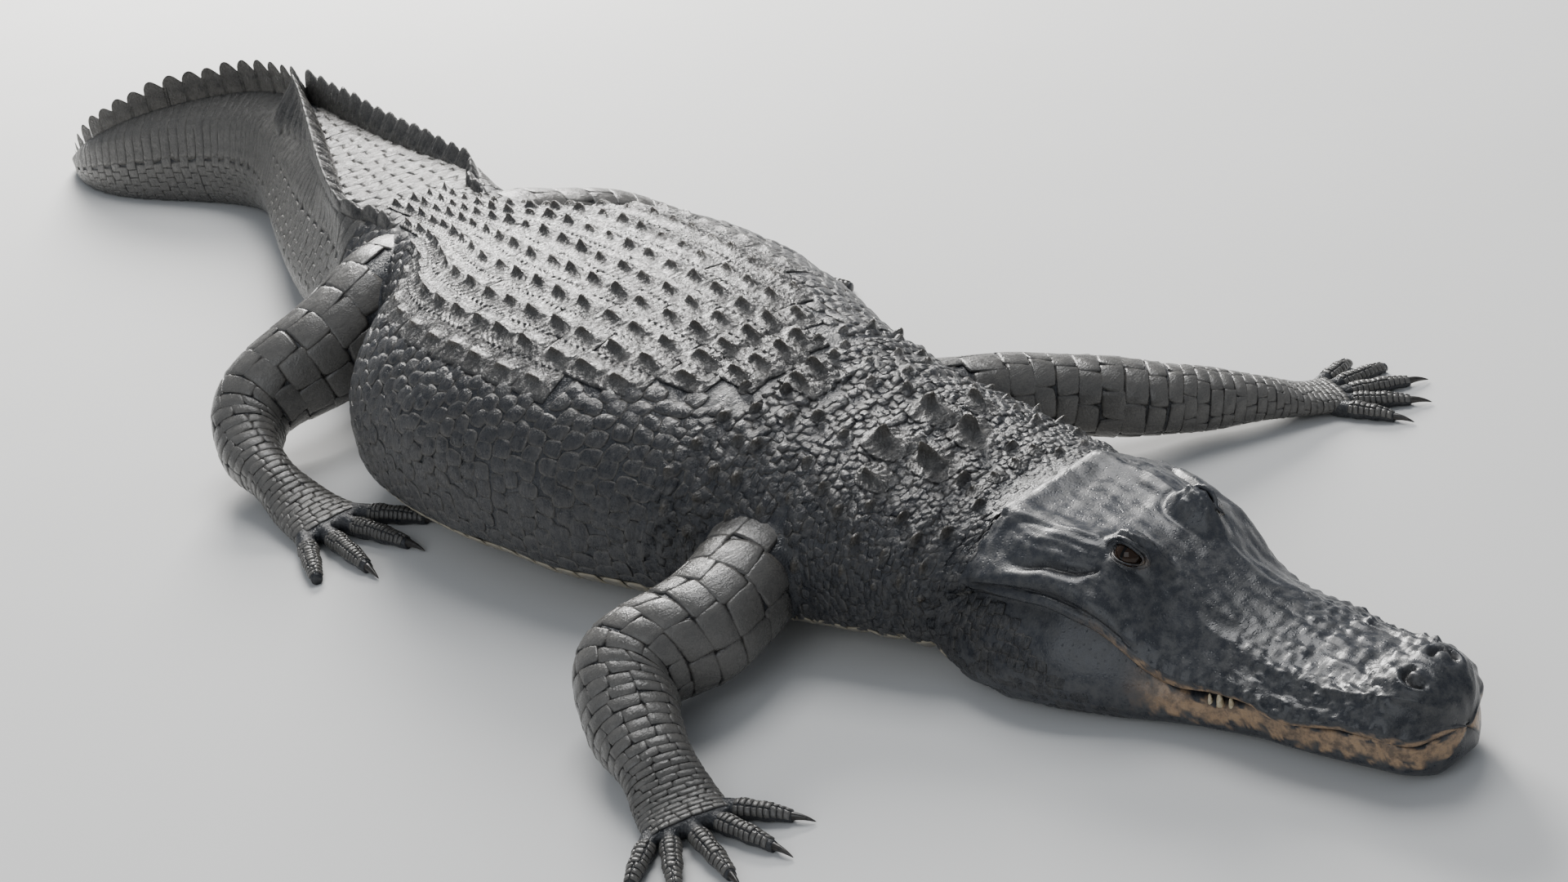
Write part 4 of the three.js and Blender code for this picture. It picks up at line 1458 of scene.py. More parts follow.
@dataclass(frozen=True)
class HideFinish:
    """Hide of one part of the animal.

    Attributes:
        name: Name of the material.
        dark: Colour in the hollows.
        mid: Main colour.
        light: Colour of worn high places.
        rough: Roughness of the high places.
        bump: Strength of the fine relief.
        marks: Whether the mesh carries the skin's masks rather than a scale's values.
        border: Strength of a scale's pale border.
        groove: Strength of the dark line round it.
        crown: Colour of keels.
        creased: Depth of the creases against the grain.
    """

    name: str
    dark: Triple
    mid: Triple
    light: Triple
    rough: float
    bump: float
    marks: bool = False
    border: float = 0.0
    groove: float = 0.7
    crown: Triple = (0.120, 0.116, 0.108)
    creased: float = 1.0

    def build(self, grain: NodeTree, mottle: NodeTree) -> Material:
        """Makes the material.

        Args:
            grain: The leathery grain group.
            mottle: The cloudy colour group.

        Returns:
            The material.
        """
        material, g, where = start_material(self.name)
        fine = g.add("Group", node_tree=grain)
        cloud = g.add("Group", node_tree=mottle)
        for node in (fine, cloud):
            g.tree.links.new(where, node.inputs["Vector"])
        colour = g.mix(cloud.outputs["Cloud"], (*self.dark, 1), (*self.mid, 1))
        speck = g.math("MULTIPLY", cloud.outputs["Specks"], 0.35)
        colour = g.mix(speck, colour, (*self.light, 1))
        if self.marks:
            colour = self.skin_colour(g, colour, cloud)
            wear = g.mark("smooth")
            pebbles = g.math("MULTIPLY", fine.outputs["Pebbles"], g.range(wear, 0, 1, 0.5, 0.10))
            creases = g.math("MULTIPLY", fine.outputs["Creases"], g.range(wear, 0, 1, -1.0, -0.07))
            pits = g.math("MULTIPLY", fine.outputs["Pits"], g.range(wear, 0, 1, 0, 0.35))
            height = g.math("SUBTRACT", g.math("ADD", pebbles, creases), pits)
        else:
            rim = g.mark("rim")
            tone = g.mark("tone")
            colour = g.mix(g.range(tone, 0.0, 1.0, 0.0, 0.30), colour, (*self.dark, 1))
            colour = g.mix(g.range(g.mark("ridge"), 0.35, 0.9, 0.0, 0.7), colour, (*self.crown, 1))
            colour = g.mix(g.range(rim, 0.03, 0.30, self.border, 0.0), colour, (*self.light, 1))
            line = (*[c * 0.35 for c in self.dark], 1)
            colour = g.mix(g.range(rim, 0.0, 0.07, self.groove, 0.0), colour, line)
            height = g.math("ADD", g.math("MULTIPLY", fine.outputs["Pebbles"], 0.2),
                            g.math("MULTIPLY", fine.outputs["Creases"], -self.creased))
        bump = g.add("Bump", {"Height": height, "Strength": self.bump, "Distance": 0.0016})
        rough = g.range(cloud.outputs["Specks"], 0, 1, self.rough - 0.07, self.rough + 0.12)
        shader = g.add("BsdfPrincipled", {"Base Color": colour, "Roughness": rough, "Normal": bump.outputs[0],
                                          "IOR": 1.45, "Specular IOR Level": 0.5})
        g.add("OutputMaterial", {"Surface": shader.outputs[0]})
        return material

    def skin_colour(self, g: Graph, colour: NodeSocket,
                    cloud: Node) -> NodeSocket:
        """Adds lip, belly and shadowed places to the hide's colour.

        Args:
            g: The material's graph.
            colour: Colour so far.
            cloud: Cloudy colour group node.

        Returns:
            The colour socket.
        """
        tan = g.mix(cloud.outputs["Cloud"], (0.30, 0.19, 0.105, 1), (0.40, 0.29, 0.19, 1))
        tan = g.mix(g.math("MULTIPLY", cloud.outputs["Specks"], 0.75), tan, (0.06, 0.05, 0.045, 1))
        colour = g.mix(g.mark("lip"), colour, tan)
        colour = g.mix(g.mark("pale"), colour, (0.34, 0.30, 0.22, 1))
        # Painted shade: behind the head the hide is darkened towards half its dark colour, so the skin
        # showing in the gaps between the scales reads as shaded.
        between = g.math("MULTIPLY", g.math("SUBTRACT", 1.0, g.mark("smooth")), 0.4)
        colour = g.mix(between, colour, (*[c * 0.5 for c in self.dark], 1))
        # Painted shade: near-black over the mouth line, nostrils, ear slits and cheek creases.
        return g.mix(g.mark("dark"), colour, (0.006, 0.005, 0.005, 1))


@dataclass(frozen=True)
class EyeFinish:
    """Wet dark brown eye with an upright slit pupil."""

    name: str = "eye wet brown"

    def build(self) -> Material:
        """Makes the material.

        Returns:
            The material.
        """
        material, g, where = start_material(self.name)
        streaks = g.add("TexNoise", {"Vector": where, "Scale": 900.0, "Detail": 4.0}).outputs["Fac"]
        iris = g.range(g.mark("gaze"), 0.50, 0.66)
        colour = g.mix(streaks, (0.012, 0.006, 0.003, 1), (0.034, 0.017, 0.008, 1))
        colour = g.mix(iris, (0.012, 0.007, 0.004, 1), colour)
        slit = g.range(g.math("ABSOLUTE", g.mark("across")), 0.08, 0.13, 1.0, 0.0)
        colour = g.mix(g.math("MULTIPLY", slit, iris), colour, (0.001, 0.001, 0.001, 1))
        shader = g.add("BsdfPrincipled", {"Base Color": colour, "Roughness": 0.07, "IOR": 1.36})
        g.add("OutputMaterial", {"Surface": shader.outputs[0]})
        return material


@dataclass(frozen=True)
class HornFinish:
    """Horn or tooth: streaked along its length, a little glossy."""

    name: str
    dark: Triple
    light: Triple
    rough: float

    def build(self) -> Material:
        """Makes the material.

        Returns:
            The material.
        """
        material, g, where = start_material(self.name)
        noise = g.add("TexNoise", {"Vector": where, "Scale": 260.0, "Detail": 5.0, "Distortion": 0.8})
        colour = g.mix(g.range(noise.outputs["Fac"], 0.35, 0.65), (*self.dark, 1), (*self.light, 1))
        bump = g.add("Bump", {"Height": noise.outputs["Fac"], "Strength": 0.3, "Distance": 0.0006})
        shader = g.add("BsdfPrincipled", {"Base Color": colour, "Roughness": self.rough,
                                          "Normal": bump.outputs[0]})
        g.add("OutputMaterial", {"Surface": shader.outputs[0]})
        return material


def back_shield(seats: Seats, x: Array, y: Array) -> Array:
    """Keeled back shield: a long narrow keel hooked to the rear on a base of fibrous ripples.

    Args:
        seats: The scales.
        x: Places along a scale, 1 at the rear.
        y: Places across it.

    Returns:
        Height over the skin in millimetres.
    """
    chance = seats.tone[:, None]
    tall = seats.tall[:, None]
    base = np.minimum(1.3, 0.2 * tall) + 0.4 * x - 0.6 * ease((np.abs(x) - 0.88) / 0.12)
    base -= 0.25 * ease((np.abs(y) - 0.9) / 0.1)
    peak = 0.30 + 0.22 * chance
    run = np.where(x < peak, 0.25 * ease((x + 0.95) / 0.6) + 0.75 * ease((x + 0.50) / (peak + 0.50)) ** 1.3,
                   ease((0.80 - x) / (0.80 - peak)) ** 0.55)
    girth = 0.155 + 0.16 * (1 - run) ** 1.1
    lean = (chance * 5.1 % 1 - 0.5) * 0.2
    keel = np.exp(-np.abs((y - lean) / girth) ** 1.7) * run
    skirt = np.exp(-((x - 0.15) ** 2 / 0.30 + y ** 2 / 0.16))
    fan = np.cos(np.arctan2(y - lean, x - 0.25) * (8 + 3 * chance) + 20 * chance)
    bend = np.sin(y * 4 + 11 * chance)
    ripple = np.sin(x * 15 + 2.8 * bend + 20 * chance + 3 * np.abs(y))
    skin = 1.0 * ripple * (1 - skirt) + 0.9 * fan * skirt * (1 - 0.8 * keel)
    within = ease((1.02 - np.abs(x)) / 0.2) * np.minimum(1, tall / 9)
    return base + tall * (0.80 * keel + 0.20 * skirt * run ** 0.5) + skin * within


def low_scale(seats: Seats, x: Array, y: Array) -> Array:
    """Oval scale: a soft dome, a little higher to the rear."""
    oval = np.maximum(1 - np.sqrt(x ** 2 + y ** 2) ** 2.6, 0) ** 0.7
    return -0.25 + seats.tall[:, None] * oval * (0.85 + 0.3 * x)


def cone_scale(seats: Seats, x: Array, y: Array) -> Array:
    """Small pointed scale that leans back.

    Args:
        seats: The scales.
        x: Places along a scale, 1 at the rear.
        y: Places across it.

    Returns:
        Height over the skin in millimetres.
    """
    out = np.sqrt(((x - 0.25) / np.where(x < 0.25, 1.25, 0.75)) ** 2 + y ** 2)
    point = ease(1 - out) ** 0.9
    fan = 0.4 * np.cos(np.arctan2(y, x - 0.25) * 9 + 20 * seats.tone[:, None])
    return -0.8 + (seats.tall[:, None] + 0.8) * point + fan * ease(out * 2) * ease(1.2 - out)


def pebble(seats: Seats, x: Array, y: Array) -> Array:
    """Small low scale."""
    return -0.4 + (seats.tall[:, None] + 0.4) * np.maximum((1 - x ** 2) * (1 - y ** 2), 0) ** 0.8


def flat_plate(seats: Seats, x: Array, y: Array) -> Array:
    """Flat plate with soft edges, a little higher to the rear.

    Args:
        seats: The scales.
        x: Places along a scale, 1 at the rear.
        y: Places across it.

    Returns:
        Height over the skin in millimetres.
    """
    chance = seats.tone[:, None]
    edge = np.maximum(np.abs(x), np.abs(y))
    wave = 0.22 * np.sin(x * 3 + 17 * chance + 2 * y)
    flat = 1 - ease((edge - 0.84) / 0.16)
    return 0.1 + seats.tall[:, None] * flat * (0.95 + 0.18 * x + wave)


def crest_blade(seats: Seats, x: Array, y: Array) -> Array:
    """Upright scale of the tail crest: a thick wall whose rounded lobe leans back, ribbed on its sides.

    The small ones near the hips stand alone as points; the tall ones join into one notched wall.

    Args:
        seats: The scales.
        x: Places along a scale, 1 at the rear.
        y: Places across it.

    Returns:
        Height over the skin in millimetres.
    """
    chance = seats.tone[:, None]
    joined = 0.10 + 0.50 * ease((seats.tall[:, None] - 20) / 16)
    top = 0.28 + 0.2 * (chance - 0.5)
    rear = np.sqrt(np.maximum(1 - (np.maximum(x - top, 0) / (1 - top)) ** 2, 0))
    lobe = np.where(x < top, ease((x + 1) / (1 + top)) ** 0.8, rear)
    out = np.abs(y)
    wall = (1 - out ** 1.5) ** (0.6 + 0.5 * (1 - lobe) * (1 - joined))
    ribs = 1.5 * np.cos(x * 17 + 20 * chance) * ease(out * 3) * ease((1 - out) * 4)
    return -3.0 + (seats.tall[:, None] * (joined + (0.98 - joined) * lobe) + 3) * wall + ribs


@dataclass
class Armour:
    """All scales of the trunk, neck, tail and jowl, in millimetres.

    Attributes:
        body: The form they lie on.
        keels: Where the columns of keels run, as shares of the half width.
        keel_heights: Height of the keels of each column.
        half_column: Half width of a column as a share of the half width.
        cone_gap: Distance between rows of neck cones.
        cone_width: Distance between cones across the neck.
        flank_pitch: Distance between rows of flank scales.
        flank_width: Width of a flank scale.
        half_plate: Half length of a tail plate.
        half_jowl: Half length of a jowl scale.
    """

    body: Body
    keels: tuple[float, ...] = (0.07, 0.215, 0.36, 0.505, 0.645)
    keel_heights: tuple[float, ...] = (12.5, 12, 11.5, 10.5, 7)
    half_column: float = 0.0735
    cone_gap: float = 30.0
    cone_width: float = 42.0
    flank_pitch: float = 20.6
    flank_width: float = 20.0
    half_plate: float = 11.0
    half_jowl: float = 5.2

    def __post_init__(self) -> None:
        """Starts the chance numbers."""
        self.rng = np.random.default_rng(SEED)

    @staticmethod
    def angle(fraction: float) -> float:
        """Coordinate round the trunk for a share of its half width."""
        return asin(fraction) / pi

    def pair(self, s: float, half: float, inner: float, outer: float, *more: float) -> list[list[float]]:
        """Seats across one row on both sides of the body."""
        return [seat for sign in (1, -1)
                for seat in fill_row(self.body, s, half, sign * inner, sign * outer, *more)]

    def shields(self) -> Object:
        """Rows of keeled shields down the back.

        Returns:
            The joined shields.
        """
        rows = []
        first, pitch, count = BACK_ROWS["first"], BACK_ROWS["pitch"], BACK_ROWS["count"]
        for k in range(-1, count):
            s = first + k * pitch
            number = 1 if s < 800 else 2 if s < 860 else 3 if s < 930 else 5 if 980 < s < 1500 else 4
            number = min(number, 3 if s > 1540 else 5, 2 if s > 1640 else 5)
            for sign in (1, -1):
                for i in range(number):
                    keel = self.keels[i]
                    lo = self.angle(max(0, keel - self.half_column))
                    hi = self.angle(min(0.99, keel + self.half_column))
                    tall = self.keel_heights[i] * self.rng.uniform(0.7, 1.1) * (0.85 if s > 1550 else 1)
                    jog = self.rng.normal() * 1.8 + (i % 2) * 6
                    rows.append([s - 8 + jog, sign * (lo + hi) / 2, pitch / 2 * 1.07, (hi - lo) / 2 * 1.10,
                                 tall])
        return Coat("back_shields", 18, 16, 0.12, back_shield, pull=(1.0, 1.5)).lay(
            [(self.body, Seats.gather(rows, self.rng))])

    def nape(self) -> Object:
        """The cluster of big shields on the nape and the small ones before it.

        Returns:
            The joined shields.
        """
        rows = []
        for s, lat, tall in NECK_SHIELDS:
            half = float(self.body.curves["half_width"](s))
            v = copysign(self.angle(abs(lat) / half), lat)
            dv = 27 / (half * pi)
            rows.append([s, v, 27 if tall > 20 else 21, dv if tall > 20 else dv * 0.75, tall])
        for lat in (-46, -16, 16, 46):
            v = copysign(self.angle(abs(lat) / 165), lat)
            rows.append([524 + abs(lat) * 0.1, v, 10, 0.021, 5])
        return Coat("nape_shields", 26, 22, 0.7, back_shield, pull=(1.0, 1.2)).lay(
            [(self.body, Seats.gather(rows, self.rng))])

    def neck(self) -> list[Object]:
        """Small low scales of the neck, and pointed ones in loose rows among them.

        Returns:
            The low scales and the pointed scales.
        """
        rows = []
        cones = []
        k = 0
        s = 470.0
        while s < 842:
            half = float(np.interp(s, [470, 600, 842], [3.6, 4.6, 6.2]))
            inner = 0.0 if s < 800 else 0.15
            rows += self.pair(s, half, inner, 0.6, half * 2.5, 0.5 * (k % 2), 0.9, 1.06)
            s += 2 * half * 0.97
            k += 1
        for s in np.arange(516, 838, self.cone_gap):
            for sign in (1, -1):
                half = float(np.interp(s, [500, 842], [9.5, 13.5]))
                line = fill_row(self.body, float(s), half, sign * 0.03, sign * 0.46, self.cone_width,
                                0.5 * (round(s) // 30 % 2), self.rng.uniform(7.5, 11.5), 0.56)
                for seat in line:
                    if self.rng.uniform() < 0.86 and not (565 < seat[0] < 680 and abs(seat[1]) < 0.2):
                        seat[4] *= self.rng.uniform(0.55, 1.1) * (1 if abs(seat[1]) < 0.34 else 0.7)
                        cones.append(seat)
        low = Seats.gather(rows, self.rng)
        low.u += self.rng.normal(0, 1.5, len(low.u)) + 4 * np.sin(low.v * 26 + low.u / 40)
        low.v += self.rng.normal(0, 0.0030, len(low.v))
        low.du *= self.rng.uniform(0.75, 1.35, len(low.u))
        low.dv *= self.rng.uniform(0.75, 1.35, len(low.u))
        low.tall *= self.rng.uniform(0.4, 1.7, len(low.u)) * ease((low.u - 462) / 60)
        low = low.keep(self.rng.uniform(0, 1, len(low.u)) < ease((low.u - 458) / 30))
        high = Seats.gather(cones, self.rng)
        high.u += self.rng.normal(0, 4.5, len(high.u))
        high.v += self.rng.normal(0, 0.006, len(high.v))
        return [Coat("neck_scales", 4, 4, 0.5, pebble, 1.5, uneven=0.8).lay([(self.body, low)]),
                Coat("neck_cones", 12, 12, 0.9, cone_scale).lay([(self.body, high)])]

    def flank(self) -> Object:
        """Rows of oval scales on both flanks.

        Returns:
            The joined scales.
        """
        rows = []
        s = 846.0
        k = 0
        while s < 1712:
            inner = 0.5 * (0.30 if s < 860 else 0.34 if s < 930 else 0.52 if 980 < s < 1500 else 0.43)
            inner = min(inner, 0.17 if s > 1540 else 1, 0.11 if s > 1640 else 1) - 0.012
            rows += self.pair(s, 10.6, inner, 0.575, self.flank_width, 0.5 * (k % 2), 2.5, 1.12)
            s += self.flank_pitch
            k += 1
        seats = Seats.gather(rows, self.rng)
        seats.u += self.rng.normal(0, 1.7, len(seats.u)) + 4 * np.sin(seats.v * 21 + seats.u / 70)
        lower = np.interp(np.abs(seats.v), [0.2, 0.55], [1.15, 0.7])
        seats.tall *= self.rng.uniform(0.6, 1.2, len(seats.u)) * lower
        seats.v += self.rng.normal(0, 0.0034, len(seats.v))
        seats.du *= self.rng.uniform(0.85, 1.1, len(seats.u))
        seats.dv *= self.rng.uniform(0.85, 1.1, len(seats.u))
        coat = Coat("flank_scales", 6, 6, 0.75, low_scale, pull=(0.8, 0.8), uneven=0.6)
        return coat.lay([(self.body, seats)])

    def belly(self) -> Object:
        """Smooth square plates of throat and belly.

        Returns:
            The joined plates.
        """
        rows = []
        s = 500.0
        while s < 1712:
            half = 11.0 if s < 760 else 13.0
            rows += self.pair(s, half, 0.575, 0.995, 2.4 * half, 0.0, 1.2)
            s += 2 * half
        coat = Coat("belly_plates", 4, 4, 0.25, flat_plate, 1.0)
        return coat.lay([(self.body, Seats.gather(rows, self.rng))])

    def tail(self) -> list[Object]:
        """Whorls round the tail: squarish plates, and tall ribs on the upper flank under the crest.

        Returns:
            The plates and the ribs.
        """
        plates = []
        ribs = []
        s = WHORLS["first"] + 8
        half = self.half_plate
        while s < TAIL_TIP - 30:
            width = float(np.interp(s, [1720, 2400, 3180], [30, 24, 10]))
            single = s > WHORLS["join"] - 60
            for part in (0, 1):
                at = s + part * 2 * half
                top = 0.12 if single else 0.17
                start = 0.40 if single else 0.29
                plates += self.pair(at, half, start, 0.99, width, 0.5 * part, 1.4, 1.04)
                ribs += self.pair(at, half, top, start + 0.014, 120, 0.0, 2.0, 1.04)
                if not single:
                    plates += fill_row(self.body, at, half, -0.142, 0.142, 1.5 * width, 0.5 * part, 1.7, 1.04)
            s += WHORLS["pitch"]
        flat = Seats.gather(plates, self.rng)
        flat.u += self.rng.normal(0, 0.8, len(flat.u))
        tall = Seats.gather(ribs, self.rng)
        plate = Coat("tail_plates", 5, 5, 0.2, flat_plate, pull=(0.4, 0.4), uneven=0.2)
        rib = Coat("tail_ribs", 5, 10, 0.1, flat_plate, pull=(0.6, 1.0), uneven=0.15)
        return [plate.lay([(self.body, flat)]), rib.lay([(self.body, tall)])]

    def crest(self) -> Object:
        """Upright scales along the tail: two rows that meet and go on as one.

        Returns:
            The joined scales.
        """
        rows = []
        height = self.body.curves["crest_height"]
        s = WHORLS["first"] - WHORLS["pitch"]
        while s < TAIL_TIP - 14:
            tall = float(height(s)) * self.rng.uniform(0.95, 1.05)
            single = s > WHORLS["join"]
            fade = float(np.interp(s, [2950, 3190], [1, 0.35]))
            for v in ((0.0,) if single else (-0.152, 0.152)):
                ends = self.body.at(np.array(s), np.array([v - 0.03, v + 0.03]))
                girth = max(float(np.linalg.norm(ends[1] - ends[0])) / 0.06, 40)
                thick = float(np.interp(s, [1700, 2000, 2400, 3190], [9, 11, 10, 5]))
                rows.append([s - 12, v, 23 * fade + 3, min(thick / girth, 0.12), tall])
            s += WHORLS["pitch"]
        blade = Coat("tail_crest", 22, 12, 0.0, crest_blade, 4.0, upright=True, pull=(1.0, 0.8), uneven=0.0)
        return blade.lay([(self.body, Seats.gather(rows, self.rng))])

    def jowl(self) -> Object:
        """Low many-sided scales of jowl and throat.

        Returns:
            The joined scales.
        """
        rows = []
        s = 300.0
        k = 0
        while s < 500:
            half = self.half_jowl
            start = float(np.interp(s, [300, 380, 440, 500], [0.60, 0.50, 0.465, 0.46]))
            rows += self.pair(s, half, start, 0.99, 12.0, 0.5 * (k % 2), 0.9, 1.04)
            s += 2 * half
            k += 1
        seats = Seats.gather(rows, self.rng)
        seats.u += self.rng.normal(0, 1.1, len(seats.u)) + 2.0 * np.sin(seats.v * 30)
        coat = Coat("jowl_scales", 4, 4, 0.3, pebble, 1.2, pull=(0.7, 0.7), uneven=0.5)
        return coat.lay([(self.body, seats)])


@dataclass
class Plating:
    """Banded plates of the limbs and toes, with the claws.

    Attributes:
        limbs: Forms of the four limbs, arms first.
        tall: Height of the plates of a limb in millimetres.
        toe_pitch: Distance between the plates of a toe.
    """

    limbs: Sequence[Limb]
    tall: float = 1.35
    toe_pitch: float = 6.2

    def __post_init__(self) -> None:
        """Starts the chance numbers."""
        self.rng = np.random.default_rng(SEED + 1)

    def bands(self, limb: Limb, hind: bool) -> Seats:
        """Plates of one limb, big on the upper part and narrow near the hand or foot.

        Args:
            limb: The limb.
            hind: Whether it is a hind limb.

        Returns:
            Their seats.
        """
        rows = []
        t = 0.06
        length = float(np.linalg.norm(np.diff(limb.line, axis=0), axis=1).sum())
        while t < 0.985:
            pitches = [30, 30, 20, 14, 11] if hind else [26, 25, 16, 12, 10]
            widths = [46, 42, 28, 13] if hind else [36, 34, 24, 11]
            half = float(np.interp(t, [0, 0.4, 0.5, 0.7, 1], pitches)) / length / 2
            width = float(np.interp(t, [0, 0.4, 0.6, 1], widths))
            width *= self.rng.uniform(0.85, 1.3)
            line = fill_row(limb, t, half, -0.995, 0.995, width, self.rng.uniform(0, 0.5), self.tall, 1.10)
            for seat in line:
                seat[0] += self.rng.normal() * half * 0.08
            rows += line
            t += 2 * half
        seats = Seats.gather(rows, self.rng)
        clear = limb.body.outside(limb.at(seats.u, seats.v))
        fade = ease((clear - 1.0) / 0.42)
        seats.tall *= 0.45 + 0.55 * fade
        return seats.keep(clear > 0.98)

    def plates(self, limb: Limb, name: str, hind: bool) -> Object:
        """The plates of one limb and its toes as one piece.

        Args:
            limb: The limb.
            name: Name of the piece.
            hind: Whether it is a hind limb.

        Returns:
            The joined plates.
        """
        spots = [(limb, self.bands(limb, hind))]
        for toe in limb.toes():
            rows = []
            for t in np.arange(0.34, 0.97, self.toe_pitch / toe.length):
                rows += fill_row(toe, t, self.toe_pitch / 2 / toe.length, -0.5, 0.5, 10.5, 0.0, 1.1, 0.93)
            spots.append((toe, Seats.gather(rows, self.rng)))
        return Coat(name, 4, 6, 0.3, flat_plate, 1.2, pull=(0.35, 0.5), uneven=0.35).lay(spots)

    def claw(self, toe: Toe, name: str) -> Object:
        """One curved horn claw that grows out of a toe.

        Args:
            toe: The toe.
            name: Name of the piece.

        Returns:
            The claw.
        """
        t = np.linspace(0, 1, 22)
        ring = np.linspace(0, tau, 17)
        size = toe.radius * 2.3 + 6
        way = np.array([cos(toe.aim), sin(toe.aim), 0])
        side = np.array([-way[1], way[0], 0])
        along = toe.length - 6 + size * t
        r = toe.radius * (0.50 * (1 - t) ** 0.75 + 0.02)
        lift = toe.radius * (0.58 + 0.22 * np.sin(t * 2.6) - 0.48 * t ** 1.6)
        r[0] = 0
        r[-1] = 0
        base = toe.start * np.array([1, 1, 0])
        p = (base + way * along[:, None, None] + side * (np.cos(ring)[None, :] * r[:, None] * 0.85)[..., None]
             + np.array([0, 0, 1]) * (lift[:, None] + np.sin(ring)[None, :] * r[:, None])[..., None])
        p[..., 2] = np.maximum(p[..., 2], 0.2)
        p[:, -1] = p[:, 0]
        return woven(p, name)


def make_teeth(body: Body) -> Object:
    """Blunt lower teeth that show in the gape on both sides.

    Args:
        body: The body whose mouth holds them.

    Returns:
        The teeth as one piece.
    """
    ring = np.linspace(0, tau, 13)
    t = np.linspace(0, 1, 12)
    parts = []
    for side in (1, -1):
        # Station, radius, and distance of the tip under the lip.
        for s, girth, short in ((190, 3.0, 1.5), (203, 3.9, 0.4), (214, 2.7, 2.6)):
            key = np.array(float(s))
            lat = float(body.curves["lip_lat"](key)) - 8
            top = float(body.curves["lip_z"](key)) - short
            low = top - float(body.curves["gape"](key)) - 3
            r = girth * np.sqrt(np.maximum(1 - t ** 1.7, 0))
            r[0] = 0
            centre = body.place(np.full(12, float(s)), np.full(12, side * lat), low + (top - low) * t)
            round_tooth = np.stack([np.cos(ring), np.sin(ring), 0 * ring], -1)[None]
            p = centre[:, None] + round_tooth * r[:, None, None]
            p[:, -1] = p[:, 0]
            parts.append(woven(p, f"tooth_{len(parts)}"))
    bm = bmesh.new()
    for part in parts:
        bm.from_mesh(part.data)
        bpy.data.meshes.remove(part.data)
    return finish_mesh(bm, "teeth")


ARM_RIGHT = [((-756, -120, 92), 62, 60), ((-700, -228, 90), 60, 60), ((-666, -328, 80), 57, 58),
             ((-682, -408, 66), 54, 58), ((-634, -444, 48), 50, 46), ((-568, -466, 30), 40, 30),
             ((-528, -478, 16), 42, 17), ((-486, -490, 11), 50, 12)]
ARM_LEFT = [((-790, 50, 114), 54, 60), ((-744, 162, 96), 48, 54), ((-712, 232, 77), 44, 48),
            ((-662, 292, 60), 42, 44), ((-621, 349, 46), 39, 36), ((-582, 404, 31), 30, 25),
            ((-562, 446, 18), 34, 16), ((-544, 486, 11), 44, 12)]
LEG_RIGHT = [((-1632, -20, 134), 70, 84), ((-1610, -120, 138), 72, 84), ((-1590, -240, 118), 61, 69),
             ((-1602, -345, 86), 50, 56), ((-1552, -386, 60), 42, 42), ((-1476, -398, 42), 32, 31),
             ((-1412, -397, 22), 40, 21), ((-1340, -392, 12), 56, 13)]
LEG_LEFT = [((-1636, -30, 134), 70, 84), ((-1626, 72, 134), 72, 82), ((-1624, 182, 112), 58, 66),
            ((-1610, 270, 82), 50, 55), ((-1576, 316, 58), 42, 42), ((-1512, 326, 42), 32, 31),
            ((-1456, 326, 22), 40, 21), ((-1392, 322, 12), 56, 13)]


def make_limbs(body: Body) -> list[Limb]:
    """Right arm, left arm, right leg and left leg."""
    return [Limb(body, ARM_RIGHT, -12, 21, (58, 74, 80, 70, 52), 10, Side.RIGHT),
            Limb(body, ARM_LEFT, 60, 21, (52, 70, 80, 76, 58), 10, Side.LEFT),
            Limb(body, LEG_RIGHT, 4, 17, (86, 108, 112, 88), 12, Side.RIGHT),
            Limb(body, LEG_LEFT, 2, 17, (86, 108, 112, 88), 12, Side.LEFT)]


